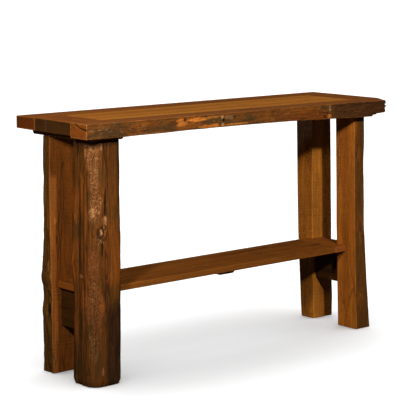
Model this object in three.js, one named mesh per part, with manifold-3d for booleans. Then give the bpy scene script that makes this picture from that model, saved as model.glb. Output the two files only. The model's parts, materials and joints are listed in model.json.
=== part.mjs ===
// A rustic console table of reclaimed hardwood: a framed plank top with a rough-hewn front rail,
// four natural posts, a plate that joins each pair of posts to the top, and a low plank shelf
// that rests on two end rails tenoned into the posts.
// X runs along the table, Y from front to back and Z up, in millimetres, with the floor at Z = 0.
import * as THREE from "three";
import { mergeVertices } from "three/addons/utils/BufferGeometryUtils.js";
import Module from "manifold-3d";

const wasm = await Module();
wasm.setup();

// ---- Driving dimensions ----
const LENGTH = 1219;
const DEPTH = 345;
const HEIGHT = 762;
const SLAB = 37; // thickness of the top's boards
const GAP = 0.3; // left between pieces that touch
const SCRIBE = 0.5; // clearance of a board that is notched round a post

const HALF_LENGTH = LENGTH / 2;
const HALF_DEPTH = DEPTH / 2;
const SLAB_BOTTOM = HEIGHT - SLAB;

// The front rail narrows to the right, and the rear rail narrows a little to the left.
const FRONT_INNER = { left: -94, right: -126 };
const REAR_INNER = { left: 78, right: 88 };
const END_BOARD = 110; // width of the top's end boards
const PLANK_JOINTS = [-40, 22]; // Y of the two joints between the three centre planks

const TONGUE = { reach: 13, low: SLAB_BOTTOM + 12.6, high: SLAB_BOTTOM + 24.4 };
const GROOVE = { reach: 14, low: SLAB_BOTTOM + 12, high: SLAB_BOTTOM + 25 };
const PLANK_TONGUE = 8;
const HAUNCH = 26; // solid wood left at the rails' ends, so that no groove shows there

const PLATE = { thickness: 18, front: -140, rear: 150, chamfer: 6 };
const PLATES_X = { left: [-568, -456], right: [490, 598] };
const PLATE_BOTTOM = SLAB_BOTTOM - GAP - PLATE.thickness;
const POST_TOP = PLATE_BOTTOM - GAP;

const SHELF = { top: 276.5, thickness: 19, front: -92, rear: 92, overhang: 12, endBoard: 100 };
const SHELF_BOTTOM = SHELF.top - SHELF.thickness;
const SHELF_JOINTS = [-31, 31]; // Y of the two joints between the three shelf planks
const END_RAIL = { thickness: 19, height: 114, tenon: 13, tenonHeight: 84, tenonDepth: 24 };
const END_RAILS_X = { left: -529, right: 528 }; // the lower X of each end rail
const BATTEN = { width: 56, length: 150, thickness: 12, chamfer: 6 };

const LAG = { shank: 3.6, head: 6.5, headHeight: 5, length: 78, taper: 6 };
const SCREW = { shank: 2.1, head: 4.2, headHeight: 3, taper: 5 };

// ---- Posts: X and Y limits of the section at each height, from the floor up ----
const POSTS = {
  leg_front_left: {
    round: true,
    stations: [
      { z: 0, x: [-568, -466], y: [-140, -32] },
      { z: 14, x: [-571, -462], y: [-143, -30] },
      { z: 180, x: [-570, -461], y: [-141, -31] },
      { z: 262, x: [-568, -462], y: [-143, -31] },
      { z: 345, x: [-572, -463], y: [-145, -27] },
      { z: 440, x: [-571, -464], y: [-143, -29] },
      { z: 560, x: [-569, -465], y: [-140, -32] },
      { z: POST_TOP, x: [-569, -466], y: [-139, -34] },
    ],
  },
  leg_front_right: {
    stations: [
      { z: 0, x: [515, 580], y: [-137, -50] },
      { z: 40, x: [514, 575], y: [-137, -50] },
      { z: 165, x: [509, 563], y: [-136, -50] },
      { z: 330, x: [503, 550], y: [-136, -50] },
      { z: 520, x: [499, 543], y: [-136, -50] },
      { z: POST_TOP, x: [494, 543], y: [-136, -50] },
    ],
  },
  leg_rear_left: {
    stations: [
      { z: 0, x: [-558, -464], y: [70, 123] },
      { z: 80, x: [-561, -465], y: [70, 117] },
      { z: 180, x: [-563, -466], y: [70, 116] },
      { z: 240, x: [-563, -466], y: [70, 115] },
      { z: 300, x: [-564, -466], y: [70, 118] },
      { z: 400, x: [-565, -467], y: [70, 107] },
      { z: 520, x: [-566, -468], y: [70, 104] },
      { z: POST_TOP, x: [-565, -468], y: [70, 103] },
    ],
  },
  leg_rear_right: {
    stations: [
      { z: 0, x: [519, 609], y: [66, 126] },
      { z: 60, x: [517, 609], y: [66, 130] },
      { z: 300, x: [513, 607], y: [71, 141] },
      { z: POST_TOP, x: [509, 598], y: [72, 149] },
    ],
  },
};

// ---- Shapes ----
const box = (x, y, z) =>
  new THREE.BoxGeometry(x[1] - x[0], y[1] - y[0], z[1] - z[0]).translate(
    (x[0] + x[1]) / 2,
    (y[0] + y[1]) / 2,
    (z[0] + z[1]) / 2,
  );

const outline = (points) => new THREE.Shape(points.map(([x, y]) => new THREE.Vector2(x, y)));

// An outline drawn in plan, raised from z[0] to z[1].
const planPrism = (points, z) =>
  new THREE.ExtrudeGeometry(outline(points), { depth: z[1] - z[0], bevelEnabled: false }).translate(0, 0, z[0]);

// An outline drawn in elevation (X, Z), carried from y[0] to y[1].
const elevationPrism = (points, y) =>
  new THREE.ExtrudeGeometry(outline(points), { depth: y[1] - y[0], bevelEnabled: false })
    .rotateX(Math.PI / 2)
    .translate(0, y[1], 0);

// A profile of (radius, z) points turned about the vertical axis through (x, y).
const turned = (profile, x, y, sides = 12) =>
  new THREE.LatheGeometry(
    profile.map(([r, z]) => new THREE.Vector2(r, z)),
    sides,
  )
    .rotateX(Math.PI / 2)
    .translate(x, y, 0);

// One ring of a post, from -1 to 1 in both directions.
function postRing(round) {
  if (!round) {
    const c = 0.9; // a sawn post has narrow worn corners
    return [[1, -c], [1, c], [c, 1], [-c, 1], [-1, c], [-1, -c], [-c, -1], [c, -1]];
  }
  const sides = 20;
  const power = 0.56; // between a circle (1) and a square (0)
  const rounded = (v) => Math.sign(v) * Math.abs(v) ** power;
  return Array.from({ length: sides }, (_, i) => {
    const angle = ((i + 0.5) / sides) * 2 * Math.PI;
    return [rounded(Math.cos(angle)), rounded(Math.sin(angle))];
  });
}

// A post lofted through its stations, made larger all round by grow.
function post({ stations, round }, grow = 0) {
  const ring = postRing(round);
  const n = ring.length;
  const positions = [];
  const triangles = [];
  for (const { z, x, y } of stations) {
    for (const [u, v] of ring) {
      positions.push((x[0] + x[1]) / 2 + u * ((x[1] - x[0]) / 2 + grow));
      positions.push((y[0] + y[1]) / 2 + v * ((y[1] - y[0]) / 2 + grow), z);
    }
  }
  for (let level = 0; level + 1 < stations.length; level++) {
    for (let i = 0; i < n; i++) {
      const a = level * n + i;
      const b = level * n + ((i + 1) % n);
      triangles.push(a, b, b + n, a, b + n, a + n);
    }
  }
  for (const [level, flip] of [[0, true], [stations.length - 1, false]]) {
    const { z, x, y } = stations[level];
    const centre = positions.length / 3;
    positions.push((x[0] + x[1]) / 2, (y[0] + y[1]) / 2, z);
    for (let i = 0; i < n; i++) {
      const a = level * n + i;
      const b = level * n + ((i + 1) % n);
      triangles.push(centre, ...(flip ? [b, a] : [a, b]));
    }
  }
  const geometry = new THREE.BufferGeometry();
  geometry.setAttribute("position", new THREE.Float32BufferAttribute(positions, 3));
  geometry.setIndex(triangles);
  return geometry;
}

// ---- Joining and cutting ----
function solid(geometry) {
  const bare = geometry.clone();
  bare.deleteAttribute("normal");
  bare.deleteAttribute("uv");
  const merged = mergeVertices(bare, 1e-4);
  return new wasm.Manifold(
    new wasm.Mesh({
      numProp: 3,
      vertProperties: merged.attributes.position.array,
      triVerts: new Uint32Array(merged.index.array),
    }),
  );
}

const join = (first, ...others) => others.reduce((made, g) => made.add(solid(g)), solid(first));
const cut = (body, ...tools) => tools.reduce((made, g) => made.subtract(solid(g)), body);

const table = new THREE.Group();
table.name = "console_table";

function place(name, body, color, roughness = 0.6, metalness = 0) {
  const mesh = body.getMesh();
  const geometry = new THREE.BufferGeometry();
  geometry.setAttribute("position", new THREE.BufferAttribute(new Float32Array(mesh.vertProperties), 3));
  geometry.setIndex(new THREE.BufferAttribute(new Uint32Array(mesh.triVerts), 1));
  geometry.computeVertexNormals();
  const piece = new THREE.Mesh(geometry, new THREE.MeshStandardMaterial({ color, roughness, metalness }));
  piece.name = name;
  table.add(piece);
}

// ---- Screws and their holes ----
// A lag screw stands head up, its head's top at headTop.
function lagScrew(x, y, headTop, grow = 0) {
  const under = headTop - LAG.headHeight - grow;
  const tip = headTop - LAG.length - grow;
  const profile = [
    [0, tip],
    [LAG.shank + grow, tip + LAG.taper],
    [LAG.shank + grow, under],
    [LAG.head + grow, under],
    [LAG.head + grow, headTop + grow],
    [0, headTop + grow],
  ];
  return turned(profile, x, y, grow ? 12 : 6);
}

// A countersunk screw; up is 1 with the head on top and -1 with the head below.
function woodScrew(x, y, headFace, length, up, grow = 0) {
  const at = (depth) => headFace - up * depth;
  const profile = [
    [0, at(length + grow)],
    [SCREW.shank + grow, at(length - SCREW.taper)],
    [SCREW.shank + grow, at(SCREW.headHeight)],
    [SCREW.head + grow, at(0)],
    [SCREW.head + grow, at(-grow)],
    [0, at(-grow)],
  ];
  return turned(up > 0 ? profile : profile.reverse(), x, y);
}

const lagScrews = [];
for (const [name, { stations }] of Object.entries(POSTS)) {
  const { x, y } = stations.at(-1);
  const along = (x[1] - x[0]) / 2 > 30 ? 24 : 10;
  for (const [index, step] of [-1, 1].entries()) {
    lagScrews.push({
      name: `${name.replace("leg_", "lag_screw_")}_${index + 1}`,
      x: (x[0] + x[1]) / 2 + step * along,
      y: (y[0] + y[1]) / 2 - step * (along > 20 ? 0 : 20),
      headTop: SLAB_BOTTOM - GAP - 1,
    });
  }
}

const PLATE_SCREW = { length: 44, fromEdge: 14, rows: [-118, 128], sink: 0.4 };
const plateScrews = [];
for (const [side, [low, high]] of Object.entries(PLATES_X)) {
  PLATE_SCREW.rows.forEach((y, row) => {
    [low + PLATE_SCREW.fromEdge, high - PLATE_SCREW.fromEdge].forEach((x, column) => {
      plateScrews.push({ name: `plate_screw_${side}_${row * 2 + column + 1}`, x, y });
    });
  });
}
const plateScrew = ({ x, y }, grow = 0) =>
  woodScrew(x, y, PLATE_BOTTOM + PLATE_SCREW.sink, PLATE_SCREW.length, -1, grow);

const SHELF_SCREW = { length: 45, rows: [-8, 48], sink: 0.6 };
const shelfScrews = Object.entries(END_RAILS_X).flatMap(([side, low]) =>
  SHELF_SCREW.rows.map((y, row) => ({
    name: `shelf_screw_${side}_${row + 1}`,
    x: low + END_RAIL.thickness / 2,
    y,
  })),
);
const shelfScrew = ({ x, y }, grow = 0) =>
  woodScrew(x, y, SHELF.top - SHELF_SCREW.sink, SHELF_SCREW.length, 1, grow);

const BATTEN_SCREW = { length: 25, rows: [-60, 0, 60], sink: 0.4 };
const BATTEN_BOTTOM = SHELF_BOTTOM - GAP - BATTEN.thickness;
const battenScrews = BATTEN_SCREW.rows.map((y, row) => ({ name: `batten_screw_${row + 1}`, x: 0, y }));
const battenScrew = ({ x, y }, grow = 0) =>
  woodScrew(x, y, BATTEN_BOTTOM + BATTEN_SCREW.sink, BATTEN_SCREW.length, -1, grow);

const holes = (screws, shape) => screws.map((s) => shape(s, GAP));
const plateHoles = holes(plateScrews, plateScrew);
const lagHoles = holes(lagScrews, ({ x, y, headTop }, grow) => lagScrew(x, y, headTop, grow));

// ---- The top ----
const lineAt = (line, x) => line.left + ((x + HALF_LENGTH) / LENGTH) * (line.right - line.left);
const END_JOINT = HALF_LENGTH - END_BOARD; // X where an end board meets the planks
const FULL = [SLAB_BOTTOM, HEIGHT];
const TONGUE_Z = [TONGUE.low, TONGUE.high];
const GROOVE_Z = [GROOVE.low, GROOVE.high];

// A four-cornered outline between two lines that run along the table, moved apart by spread.
const between = (x, front, rear, spread) => [
  [x[0], lineAt(front, x[0]) - spread],
  [x[1], lineAt(front, x[1]) - spread],
  [x[1], lineAt(rear, x[1]) + spread],
  [x[0], lineAt(rear, x[0]) + spread],
];
const straight = (y) => ({ left: y, right: y });

// The rails' stopped grooves, cut as one slab that reaches into both rails.
const railGroove = planPrism(
  between([HAUNCH - HALF_LENGTH, HALF_LENGTH - HAUNCH], FRONT_INNER, REAR_INNER, GROOVE.reach),
  GROOVE_Z,
);

function frontRail() {
  // The hewn face: its upper edge dips to the right, and the underside is split away at the right end.
  const face = [
    [-HALF_LENGTH, 719], [-480, 718], [-350, 718], [-200, 720], [-40, 719], [126, 718],
    [330, 713], [470, 709], [538, 710], [548, 716], [606, 717], [604, 724], [HALF_LENGTH, 737],
    [606, 744], [607, 757], [480, 759], [200, 760], [-200, 761], [-HALF_LENGTH, HEIGHT],
  ];
  const plan = [
    [-HALF_LENGTH, -HALF_DEPTH], [-360, 1.5 - HALF_DEPTH], [-120, -HALF_DEPTH], [160, 2.5 - HALF_DEPTH],
    [360, 0.5 - HALF_DEPTH], [520, 2 - HALF_DEPTH], [HALF_LENGTH, 1 - HALF_DEPTH],
    [HALF_LENGTH, FRONT_INNER.right], [-HALF_LENGTH, FRONT_INNER.left],
  ];
  const bar = solid(elevationPrism(face, [-HALF_DEPTH, FRONT_INNER.left + 1]));
  const shaped = bar.intersect(solid(planPrism(plan, [SLAB_BOTTOM - 30, HEIGHT + 1])));
  // The rail is thicker than the slab, so it is relieved where the plates pass under its inner edge.
  const relief = Object.values(PLATES_X).map((x) =>
    box([x[0] - 1, x[1] + 1], [PLATE.front - 1, 0], [PLATE_BOTTOM - 10, SLAB_BOTTOM]),
  );
  return cut(shaped, railGroove, ...relief, ...plateHoles);
}

function rearRail() {
  const plan = [
    [-HALF_LENGTH, REAR_INNER.left],
    [HALF_LENGTH, REAR_INNER.right],
    [HALF_LENGTH, HALF_DEPTH],
    [-HALF_LENGTH, HALF_DEPTH],
  ];
  return cut(join(planPrism(plan, FULL)), railGroove, ...plateHoles);
}

function endBoard(side) {
  const sign = side === "left" ? -1 : 1;
  const across = (a, b) => [sign * a, sign * b].sort((p, q) => p - q);
  const body = planPrism(between(across(END_JOINT, HALF_LENGTH), FRONT_INNER, REAR_INNER, -GAP), FULL);
  const tongue = planPrism(
    between(across(END_JOINT, HALF_LENGTH - HAUNCH - GAP), FRONT_INNER, REAR_INNER, TONGUE.reach),
    TONGUE_Z,
  );
  const groove = planPrism(
    between(across(END_JOINT - 1, END_JOINT + GROOVE.reach), FRONT_INNER, REAR_INNER, -GAP),
    GROOVE_Z,
  );
  return cut(join(body, tongue), groove, ...plateHoles);
}

// A strip along a plank's edge, between two offsets in Y from a line.
const strip = (line, low, high, z) => {
  const moved = (by) => ({ left: line.left + by, right: line.right + by });
  const reach = END_JOINT - GAP;
  return planPrism(between([-reach, reach], moved(low), moved(high), 0), z);
};

// A centre plank, tongued into the end boards. The middle plank has a tongue along both edges,
// and the outer planks take it in a groove and are tongued into the rails.
function plank(front, rear, tongues) {
  const reach = END_JOINT - GAP;
  const body = planPrism(between([-reach, reach], front, rear, -GAP / 2), FULL);
  const ends = planPrism(
    between([-END_JOINT - TONGUE.reach, END_JOINT + TONGUE.reach], front, rear, -3),
    TONGUE_Z,
  );
  const frontEdge = tongues.front
    ? strip(front, -tongues.front, 2, TONGUE_Z)
    : strip(front, -1, PLANK_TONGUE + 1, GROOVE_Z);
  const rearEdge = tongues.rear
    ? strip(rear, -2, tongues.rear, TONGUE_Z)
    : strip(rear, -PLANK_TONGUE - 1, 1, GROOVE_Z);
  const cuts = [tongues.front ? null : frontEdge, tongues.rear ? null : rearEdge].filter(Boolean);
  const joins = [tongues.front ? frontEdge : null, tongues.rear ? rearEdge : null].filter(Boolean);
  return cut(join(body, ends, ...joins), ...cuts, ...plateHoles);
}

place("top_front_rail", frontRail(), "#6f5337", 0.75);
place("top_rear_rail", rearRail(), "#8a5426", 0.6);
place("top_left_end_board", endBoard("left"), "#8b5a2b", 0.6);
place("top_right_end_board", endBoard("right"), "#85522a", 0.6);
const [FRONT_JOINT, REAR_JOINT] = PLANK_JOINTS.map(straight);
const TOP_PLANKS = [
  { name: "top_front_plank", lines: [FRONT_INNER, FRONT_JOINT], tongues: { front: TONGUE.reach }, color: "#b8792f" },
  {
    name: "top_middle_plank",
    lines: [FRONT_JOINT, REAR_JOINT],
    tongues: { front: PLANK_TONGUE, rear: PLANK_TONGUE },
    color: "#c08538",
  },
  { name: "top_rear_plank", lines: [REAR_JOINT, REAR_INNER], tongues: { rear: TONGUE.reach }, color: "#b0702b" },
];
for (const { name, lines, tongues, color } of TOP_PLANKS) {
  place(name, plank(...lines, tongues), color, 0.55);
}

// ---- The plates under the top ----
// A flat bar along Y with its lower end corners chamfered.
function flatBar(x, y, z, chamfer) {
  const side = [
    [y[0] + chamfer, z[0]],
    [y[1] - chamfer, z[0]],
    [y[1], z[0] + chamfer],
    [y[1], z[1]],
    [y[0], z[1]],
    [y[0], z[0] + chamfer],
  ];
  return new THREE.ExtrudeGeometry(outline(side), { depth: x[1] - x[0], bevelEnabled: false })
    .rotateX(Math.PI / 2)
    .rotateZ(Math.PI / 2)
    .translate(x[0], 0, 0);
}

for (const [side, x] of Object.entries(PLATES_X)) {
  const bar = flatBar(x, [PLATE.front, PLATE.rear], [PLATE_BOTTOM, SLAB_BOTTOM - GAP], PLATE.chamfer);
  place(`${side}_top_plate`, cut(join(bar), ...lagHoles, ...plateHoles), "#4a3018", 0.7);
}

// ---- The shelf's end rails and the posts ----
const railTenons = (low, grow) => {
  const middle = low + END_RAIL.thickness / 2;
  const half = END_RAIL.tenon / 2 + grow;
  const top = SHELF_BOTTOM - GAP - (END_RAIL.height - END_RAIL.tenonHeight) / 2;
  return [middle - half, middle + half, top - END_RAIL.tenonHeight - grow, top + grow];
};
const TENON_Y = {
  left: [-31 - END_RAIL.tenonDepth, 70 + END_RAIL.tenonDepth],
  right: [-50 - END_RAIL.tenonDepth, 72 + END_RAIL.tenonDepth],
};

const tenonBox = (side, grow = 0) => {
  const [x0, x1, z0, z1] = railTenons(END_RAILS_X[side], grow);
  const [front, rear] = TENON_Y[side];
  return box([x0, x1], [front - grow, rear + grow], [z0, z1]);
};

const postsGrown = Object.values(POSTS).map((p) => post(p, SCRIBE));

for (const side of ["left", "right"]) {
  const low = END_RAILS_X[side];
  const [front, rear] = TENON_Y[side];
  const z = [SHELF_BOTTOM - GAP - END_RAIL.height, SHELF_BOTTOM - GAP];
  const shoulder = 10; // the rail's full section is cut back to the posts from inside them
  const length = [front + END_RAIL.tenonDepth - shoulder, rear - END_RAIL.tenonDepth + shoulder];
  const body = cut(join(box([low, low + END_RAIL.thickness], length, z)), ...postsGrown);
  const made = cut(body.add(solid(tenonBox(side))), ...holes(shelfScrews, shelfScrew));
  place(`shelf_${side}_end_rail`, made, "#6a4424", 0.65);
}

const POST_COLORS = {
  leg_front_left: "#6b4a26",
  leg_front_right: "#8a5c2c",
  leg_rear_left: "#8a5a28",
  leg_rear_right: "#7a5a38",
};
for (const [name, shape] of Object.entries(POSTS)) {
  const mortises = [tenonBox("left", GAP), tenonBox("right", GAP)];
  place(name, cut(join(post(shape)), ...mortises, ...lagHoles), POST_COLORS[name], 0.7);
}

// ---- The shelf ----
const SHELF_ENDS = {
  left: END_RAILS_X.left - SHELF.overhang,
  right: END_RAILS_X.right + END_RAIL.thickness + SHELF.overhang,
};
const SHELF_PLANKS_X = [SHELF_ENDS.left + SHELF.endBoard, SHELF_ENDS.right - SHELF.endBoard];
const SHELF_Z = [SHELF_BOTTOM, SHELF.top];
const SHELF_TONGUE = { reach: 9, z: [SHELF_BOTTOM + 6.6, SHELF_BOTTOM + 12.4] };
const SHELF_GROOVE = { reach: 10, z: [SHELF_BOTTOM + 6, SHELF_BOTTOM + 13] };

for (const side of ["left", "right"]) {
  const end = SHELF_ENDS[side];
  const inner = SHELF_PLANKS_X[side === "left" ? 0 : 1];
  const sign = Math.sign(inner - end);
  const span = (a, b) => [a, b].sort((p, q) => p - q);
  const board = box(span(end, inner), [SHELF.front, SHELF.rear], SHELF_Z);
  const groove = box(
    span(inner - sign * SHELF_GROOVE.reach, inner + sign),
    [SHELF.front + 8, SHELF.rear - 8],
    SHELF_GROOVE.z,
  );
  const made = cut(join(board), groove, ...postsGrown, ...holes(shelfScrews, shelfScrew));
  place(`shelf_${side}_end_board`, made, "#7a4d25", 0.6);
}

// A shelf plank, tongued into both end boards; its edges are glued to its neighbours.
function shelfPlank(front, rear) {
  const x = [SHELF_PLANKS_X[0] + GAP, SHELF_PLANKS_X[1] - GAP];
  const board = box(x, [front + GAP / 2, rear - GAP / 2], SHELF_Z);
  const tongue = box(
    [SHELF_PLANKS_X[0] - SHELF_TONGUE.reach, SHELF_PLANKS_X[1] + SHELF_TONGUE.reach],
    [Math.max(front + 2, SHELF.front + 9), Math.min(rear - 2, SHELF.rear - 9)],
    SHELF_TONGUE.z,
  );
  return cut(join(board, tongue), ...postsGrown, ...holes(battenScrews, battenScrew));
}
place("shelf_front_plank", shelfPlank(SHELF.front, SHELF_JOINTS[0]), "#8a5526", 0.55);
place("shelf_middle_plank", shelfPlank(SHELF_JOINTS[0], SHELF_JOINTS[1]), "#70452a", 0.55);
place("shelf_rear_plank", shelfPlank(SHELF_JOINTS[1], SHELF.rear), "#7b4e27", 0.55);

const batten = flatBar(
  [-BATTEN.width / 2, BATTEN.width / 2],
  [-BATTEN.length / 2, BATTEN.length / 2],
  [BATTEN_BOTTOM, SHELF_BOTTOM - GAP],
  BATTEN.chamfer,
);
place("shelf_batten", cut(join(batten), ...holes(battenScrews, battenScrew)), "#3f2a18", 0.7);

// ---- The fasteners ----
const STEEL = "#7d7a74";
for (const s of lagScrews) {
  place(s.name, solid(lagScrew(s.x, s.y, s.headTop)), STEEL, 0.4, 0.9);
}
for (const s of plateScrews) {
  place(s.name, solid(plateScrew(s)), STEEL, 0.4, 0.9);
}
for (const s of shelfScrews) {
  place(s.name, solid(shelfScrew(s)), STEEL, 0.4, 0.9);
}
for (const s of battenScrews) {
  place(s.name, solid(battenScrew(s)), STEEL, 0.4, 0.9);
}

export default table;
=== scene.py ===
import json
import math

import bpy
import numpy as np
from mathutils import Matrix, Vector

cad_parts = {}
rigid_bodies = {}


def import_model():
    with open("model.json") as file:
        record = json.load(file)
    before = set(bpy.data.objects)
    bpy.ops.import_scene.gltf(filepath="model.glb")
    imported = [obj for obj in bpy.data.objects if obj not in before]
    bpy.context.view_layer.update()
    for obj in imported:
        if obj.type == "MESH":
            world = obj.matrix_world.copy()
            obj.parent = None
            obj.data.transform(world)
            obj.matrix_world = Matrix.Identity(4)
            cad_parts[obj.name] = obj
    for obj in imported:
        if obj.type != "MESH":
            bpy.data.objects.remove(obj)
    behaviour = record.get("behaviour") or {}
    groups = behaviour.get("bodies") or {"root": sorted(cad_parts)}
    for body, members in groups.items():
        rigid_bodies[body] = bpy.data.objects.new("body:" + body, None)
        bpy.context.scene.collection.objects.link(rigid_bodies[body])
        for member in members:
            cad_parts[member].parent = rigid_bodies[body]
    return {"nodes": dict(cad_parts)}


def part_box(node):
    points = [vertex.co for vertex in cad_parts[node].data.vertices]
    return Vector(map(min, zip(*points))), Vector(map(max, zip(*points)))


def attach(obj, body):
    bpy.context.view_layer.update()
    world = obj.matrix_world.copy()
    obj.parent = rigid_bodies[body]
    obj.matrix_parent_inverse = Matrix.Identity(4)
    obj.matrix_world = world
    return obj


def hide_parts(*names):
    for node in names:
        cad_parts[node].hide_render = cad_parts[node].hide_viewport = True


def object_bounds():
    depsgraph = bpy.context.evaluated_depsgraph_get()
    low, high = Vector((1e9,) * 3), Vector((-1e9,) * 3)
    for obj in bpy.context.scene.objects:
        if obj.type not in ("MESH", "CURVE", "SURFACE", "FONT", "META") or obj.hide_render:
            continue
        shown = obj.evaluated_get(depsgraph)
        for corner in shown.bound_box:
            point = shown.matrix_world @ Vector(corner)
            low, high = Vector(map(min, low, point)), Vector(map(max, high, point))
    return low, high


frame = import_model()
cad_low, cad_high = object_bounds()

MM = 0.001
ROOT = "root"

# Lengths below are in millimetres, as in the table's drawing; meshes are made in metres.
LEFT_END, RIGHT_END = cad_low[0] / MM, cad_high[0] / MM
FRONT_EDGE, REAR_EDGE = cad_low[1] / MM, cad_high[1] / MM
TOP_FACE = cad_high[2] / MM
JOINT_GAP = 0.35  # left between two boards that meet
SCRIBED_IN = 2.0  # how far a scribed board runs into the post that hides its edge
SEAT_RADIUS, SEAT_RIM, SEAT_DEPTH = 5.0, 6.2, 1.8  # the round seats for the screws' heads


def drawn_box(node):
    """A drawn part's lowest and highest corners."""
    return [np.array(corner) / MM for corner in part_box(node)]


# ---------------------------------------------------------------- noise, for the shape of the timber
def lattice_value(cell, seed):
    """A repeatable value from -1 to 1 for each integer cell."""
    x, y, z = (cell[:, i].astype(np.int64) for i in range(3))
    mixed = (x * 73856093) ^ (y * 19349663) ^ (z * 83492791) ^ (seed * 2654435761)
    mixed = ((mixed ^ (mixed >> 13)) * 1274126177) & 0x7FFFFFFF
    return ((mixed ^ (mixed >> 15)) & 0xFFFF) / 32767.5 - 1.0


def smooth_noise(points, seed):
    """Value noise with one feature for each unit of length."""
    base = np.floor(points)
    t = points - base
    t = t * t * (3 - 2 * t)
    total = np.zeros(len(points))
    for corner in range(8):
        offset = np.array([corner & 1, corner >> 1 & 1, corner >> 2 & 1])
        weight = np.prod(np.where(offset, t, 1 - t), axis=1)
        total += weight * lattice_value(base + offset, seed)
    return total


def noise(points, size, seed, octaves=3):
    """Fractal noise whose largest features have the given size along each axis."""
    scaled = np.asarray(points) / np.asarray(size, float)
    total = np.zeros(len(scaled))
    for level in range(octaves):
        total += smooth_noise(scaled * 2**level, seed + level) / 2**level
    return total / (2 - 2.0 ** (1 - octaves))


def ramp(value, low, high):
    """0 below low, 1 above high, smooth in between; low may be the larger one."""
    t = np.clip((value - low) / (high - low), 0, 1)
    return t * t * (3 - 2 * t)


# ---------------------------------------------------------------- timber: a section swept along its grain
# The dark mask holds dark wood and painted shade; the fresh and pale masks hold their own wood and, in
# places, painted light.
MASKS = ("fresh_and_lit", "dark_and_shade", "pale_and_lit", "red", "old", "eaten", "wear", "end")
ROUNDING = np.array([0.0, 0.12, 0.35, 0.65, 1.0])


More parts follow.
